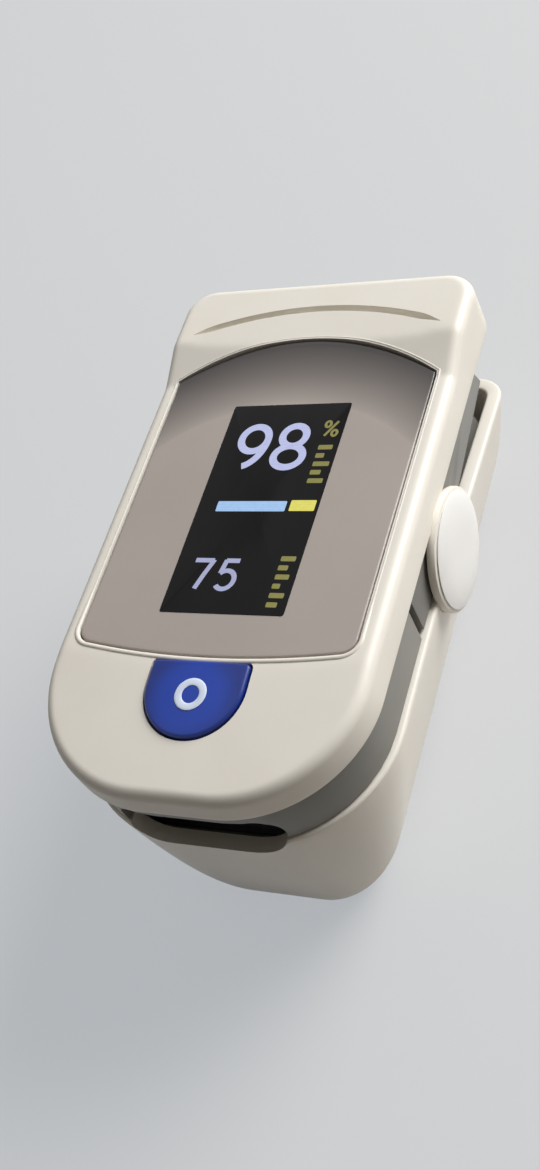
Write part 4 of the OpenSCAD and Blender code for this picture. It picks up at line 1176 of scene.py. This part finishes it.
class OXIMETER_OT_carried_parts(bpy.types.Operator):
    """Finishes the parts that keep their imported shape"""
    bl_idname = "oximeter.carried_parts"
    bl_label = "Carried Parts"

    def softened(self, part, width):
        """Merges a part's loose triangles, rounds its edges and smooths its shading, all by modifiers."""
        flat, sharp = math.radians(0.6), math.radians(40)
        for kind, settings in (
                ("WELD", {"merge_threshold": 0.002 * MM}),
                ("DECIMATE", {"decimate_type": "DISSOLVE", "angle_limit": flat}),
                ("BEVEL", {"width": width * MM, "segments": 2, "limit_method": "ANGLE",
                           "angle_limit": sharp}),
                ("NODES", {"node_group": self.shading()})):
            if kind == "BEVEL" and not width:
                continue
            added = part.modifiers.new(kind.lower(), kind)
            for key, value in settings.items():
                setattr(added, key, value)

    @staticmethod
    def shading():
        """A node group that shades smooth across edges flatter than 35 degrees."""
        name = "smooth_by_edge"
        if name in bpy.data.node_groups:
            return bpy.data.node_groups[name]
        group = bpy.data.node_groups.new(name, "GeometryNodeTree")
        for way in ("INPUT", "OUTPUT"):
            group.interface.new_socket("Geometry", in_out=way, socket_type="NodeSocketGeometry")
        tree = Wire(group)
        angle = tree.node("GeometryNodeInputMeshEdgeAngle", out="Unsigned Angle")
        flat = tree.node("FunctionNodeCompare", {"operation": "LESS_THAN"}, {0: angle, 1: math.radians(35)})
        faces = tree.node("GeometryNodeSetShadeSmooth", None, {"Geometry": tree.node("NodeGroupInput")})
        edges = tree.node("GeometryNodeSetShadeSmooth", {"domain": "EDGE"},
                          {"Geometry": faces, "Shade Smooth": flat})
        group.links.new(edges.socket, group.nodes.new("NodeGroupOutput").inputs[0])
        return group

    @staticmethod
    def cell_look(node):
        """A cell's finish, its band at the narrow end, whose points lie closer to the middle line."""
        end_t = 0.1
        ends = [corner[1] for corner in box(node)]
        points = points_of(NODES[node])
        mid = (points.min(0) + points.max(0)) / 2
        away = np.hypot(points[:, 0] - mid[0], points[:, 2] - mid[2])
        ahead = points[:, 1] > points[:, 1].max() - end_t
        behind = points[:, 1] < points[:, 1].min() + end_t
        nub_ahead = away[ahead].max() < away[behind].max()
        return cell_finish(*(ends if nub_ahead else ends[::-1]))

    def execute(self, context):
        c = context.scene.oximeter_colours
        looks = (
            (moulded("frame_plastic", c.grey, 0.42, 0.2, 0.1),
             {"upper_frame": 0.15, "hinge_bracket": 0.15, "lower_frame": 0.12}),
            (metal_finish("plated_steel", (0.6, 0.6, 0.62), (1.0, 0.15, 1.0)),
             {"hinge_pin_left": 0.1, "hinge_pin_right": 0.1, "contact_springs": 0, "contact_plates": 0.05}),
            (metal_finish("screw_steel", (0.5, 0.5, 0.52), (1.0, 1.0, 0.1), 0.34),
             {"upper_screws": 0.1, "lower_screws": 0.1}),
            (board_finish("solder_mask", (0.02, 0.12, 0.05), (0.09, 0.3, 0.12)), {"main_board": 0}),
            (board_finish("lamp_board", (0.02, 0.1, 0.05), (0.3, 0.3, 0.18)),
             {"emitter_board": 0, "detector_board": 0}),
            (moulded("chip_resin", (0.025, 0.025, 0.028), 0.5, 0.2, 0.3),
             {"board_chips": 0.05, "switch_plunger": 0.06}),
            (moulded("switch_plastic", (0.55, 0.55, 0.53), 0.4, 0.1), {"tact_switch": 0.08}),
            (rubber_finish("foam_tape", (0.03, 0.03, 0.03)), {"display_gasket": 0}),
            (moulded("screen_module", (0.03, 0.035, 0.04), 0.2, 0.05, 0.3, 0.4), {"oled_module": 0.05}),
            (window_finish("red_window", (0.45, 0.02, 0.02)),
             {"emitter_window": 0.06, "detector_window": 0.06}),
            (window_finish("lamp_resin", (0.7, 0.62, 0.45)), {"emitter_led": 0.08}),
            (moulded("sensor_resin", (0.03, 0.02, 0.04), 0.15, 0.04, 0.3, 0.5), {"photodiode": 0.08}),
            *((self.cell_look(node), {node: 0.06}) for node in ("battery_left", "battery_right")))
        for look, edge_widths in looks:
            for node, width in edge_widths.items():
                part = NODES[node]
                if not part.material_slots:
                    part.data.materials.append(look)
                for seat in part.material_slots:
                    seat.material = look
                self.softened(part, width)
        return {"FINISHED"}


class OXIMETER_OT_stage(bpy.types.Operator):
    """Sets the pale floor, the soft studio light and the camera, all in metres"""
    bl_idname = "oximeter.stage"
    bl_label = "Stage"

    @staticmethod
    def facing(place, back, right):
        """Matrix of a camera or light at a place that looks away from back, its own x close to right."""
        z = np.array(back) / np.linalg.norm(back)
        x = np.array(right) - z * np.dot(right, z)
        x /= np.linalg.norm(x)
        matrix = np.eye(4)
        matrix[:3] = np.column_stack([x, np.cross(z, x), z, place])
        return Matrix(matrix.tolist())

    def lamp(self, name, place, aim, size, power):
        """A square soft light at a place, turned to its aim."""
        light = bpy.data.lights.new(name, "AREA")
        light.shape = "SQUARE"
        light.size, light.energy = size, power
        made = bpy.data.objects.new(name, light)
        bpy.context.scene.collection.objects.link(made)
        made.matrix_world = self.facing(place, np.array(place) - aim, (0.3, 1, 0.2))

    def floor(self, colours):
        """A wide sheet just under the base."""
        half, under = 1500, 0.05
        corners = np.array([[-half, -half, -under], [half, -half, -under],
                            [half, half, -under], [-half, half, -under]])
        sheet = raw("studio_floor", (corners, [[0, 1, 2, 3]]))
        sheet.data.materials.append(floor_finish(colours.floor, colours.floor_glow))

    def world(self, scene):
        """A pale ground for the camera and gloss, and a faint warm light on the object."""
        scene.world = scene.world or bpy.data.worlds.new("studio")
        scene.world.use_nodes = True
        tree = scene.world.node_tree
        ground = tree.nodes["Background"]
        shown = seen(tree)
        tone = shown.mix((1.0, 0.9, 0.8, 1), (0.97, 0.985, 1.0, 1))
        tree.links.new(tone.socket, ground.inputs["Color"])
        tree.links.new((0.08 + shown * 0.72).socket, ground.inputs["Strength"])

    def camera(self, scene, aim):
        """The photo's view: its three directions, its distance and the width that it takes in."""
        away, right = np.array([0.455, -0.495, 0.74]), np.array([0.887, 0.278, -0.367])
        up = np.array([-0.024, 0.823, 0.566])
        distance, view_width, photo_shape = 0.15, 0.054, 1170 / 540
        shift_right, shift_up = -0.0036, 0.0015
        away /= np.linalg.norm(away)
        data = bpy.data.cameras.new("photo_view")
        data.lens = data.sensor_width * distance / (view_width * photo_shape)
        data.clip_start, data.clip_end = 0.01, 20
        made = bpy.data.objects.new("photo_view", data)
        scene.collection.objects.link(made)
        place = aim + distance * away + shift_right * right + shift_up * up
        made.matrix_world = self.facing(place, away, right)
        scene.camera = made

    def execute(self, context):
        scene = context.scene
        aim = np.array([0, 0, 0.015])
        self.floor(scene.oximeter_colours)
        self.world(scene)
        self.lamp("key_light", (0.335, 0.42, 0.385), aim, 0.42, 5.95)
        self.lamp("top_light", (-0.1, 0.12, 0.6), aim, 0.5, 0.4)
        self.camera(scene, aim)
        scene.view_settings.view_transform = "Standard"
        return {"FINISHED"}


PIECES = (OXIMETER_OT_upper_shell, OXIMETER_OT_display, OXIMETER_OT_button, OXIMETER_OT_lower_shell,
          OXIMETER_OT_hinge, OXIMETER_OT_finger_bay, OXIMETER_OT_carried_parts, OXIMETER_OT_stage)


class OXIMETER_PT_sidebar(bpy.types.Panel):
    """Sizes, colours and pieces of the oximeter"""
    bl_idname = "OXIMETER_PT_sidebar"
    bl_label = "Pulse Oximeter"
    bl_space_type = "VIEW_3D"
    bl_region_type = "UI"
    bl_category = "Oximeter"

    def draw(self, context):
        scene = context.scene
        for title, group in (("Sizes", scene.oximeter_sizes), ("Colours", scene.oximeter_colours)):
            panel = self.layout.box()
            panel.label(text=title)
            for key in group.__annotations__:
                panel.prop(group, key)
        for made in PIECES:
            self.layout.operator(made.bl_idname)


CLASSES = (OximeterSizes, OximeterColours, *PIECES, OXIMETER_PT_sidebar)


def register():
    for made in CLASSES:
        bpy.utils.register_class(made)
    bpy.types.Scene.oximeter_sizes = bpy.props.PointerProperty(type=OximeterSizes)
    bpy.types.Scene.oximeter_colours = bpy.props.PointerProperty(type=OximeterColours)


def unregister():
    del bpy.types.Scene.oximeter_sizes
    del bpy.types.Scene.oximeter_colours
    for made in reversed(CLASSES):
        bpy.utils.unregister_class(made)


def main():
    register()
    for made in PIECES:
        group, name = made.bl_idname.split(".")
        getattr(getattr(bpy.ops, group), name)()


if __name__ == "__main__":
    main()
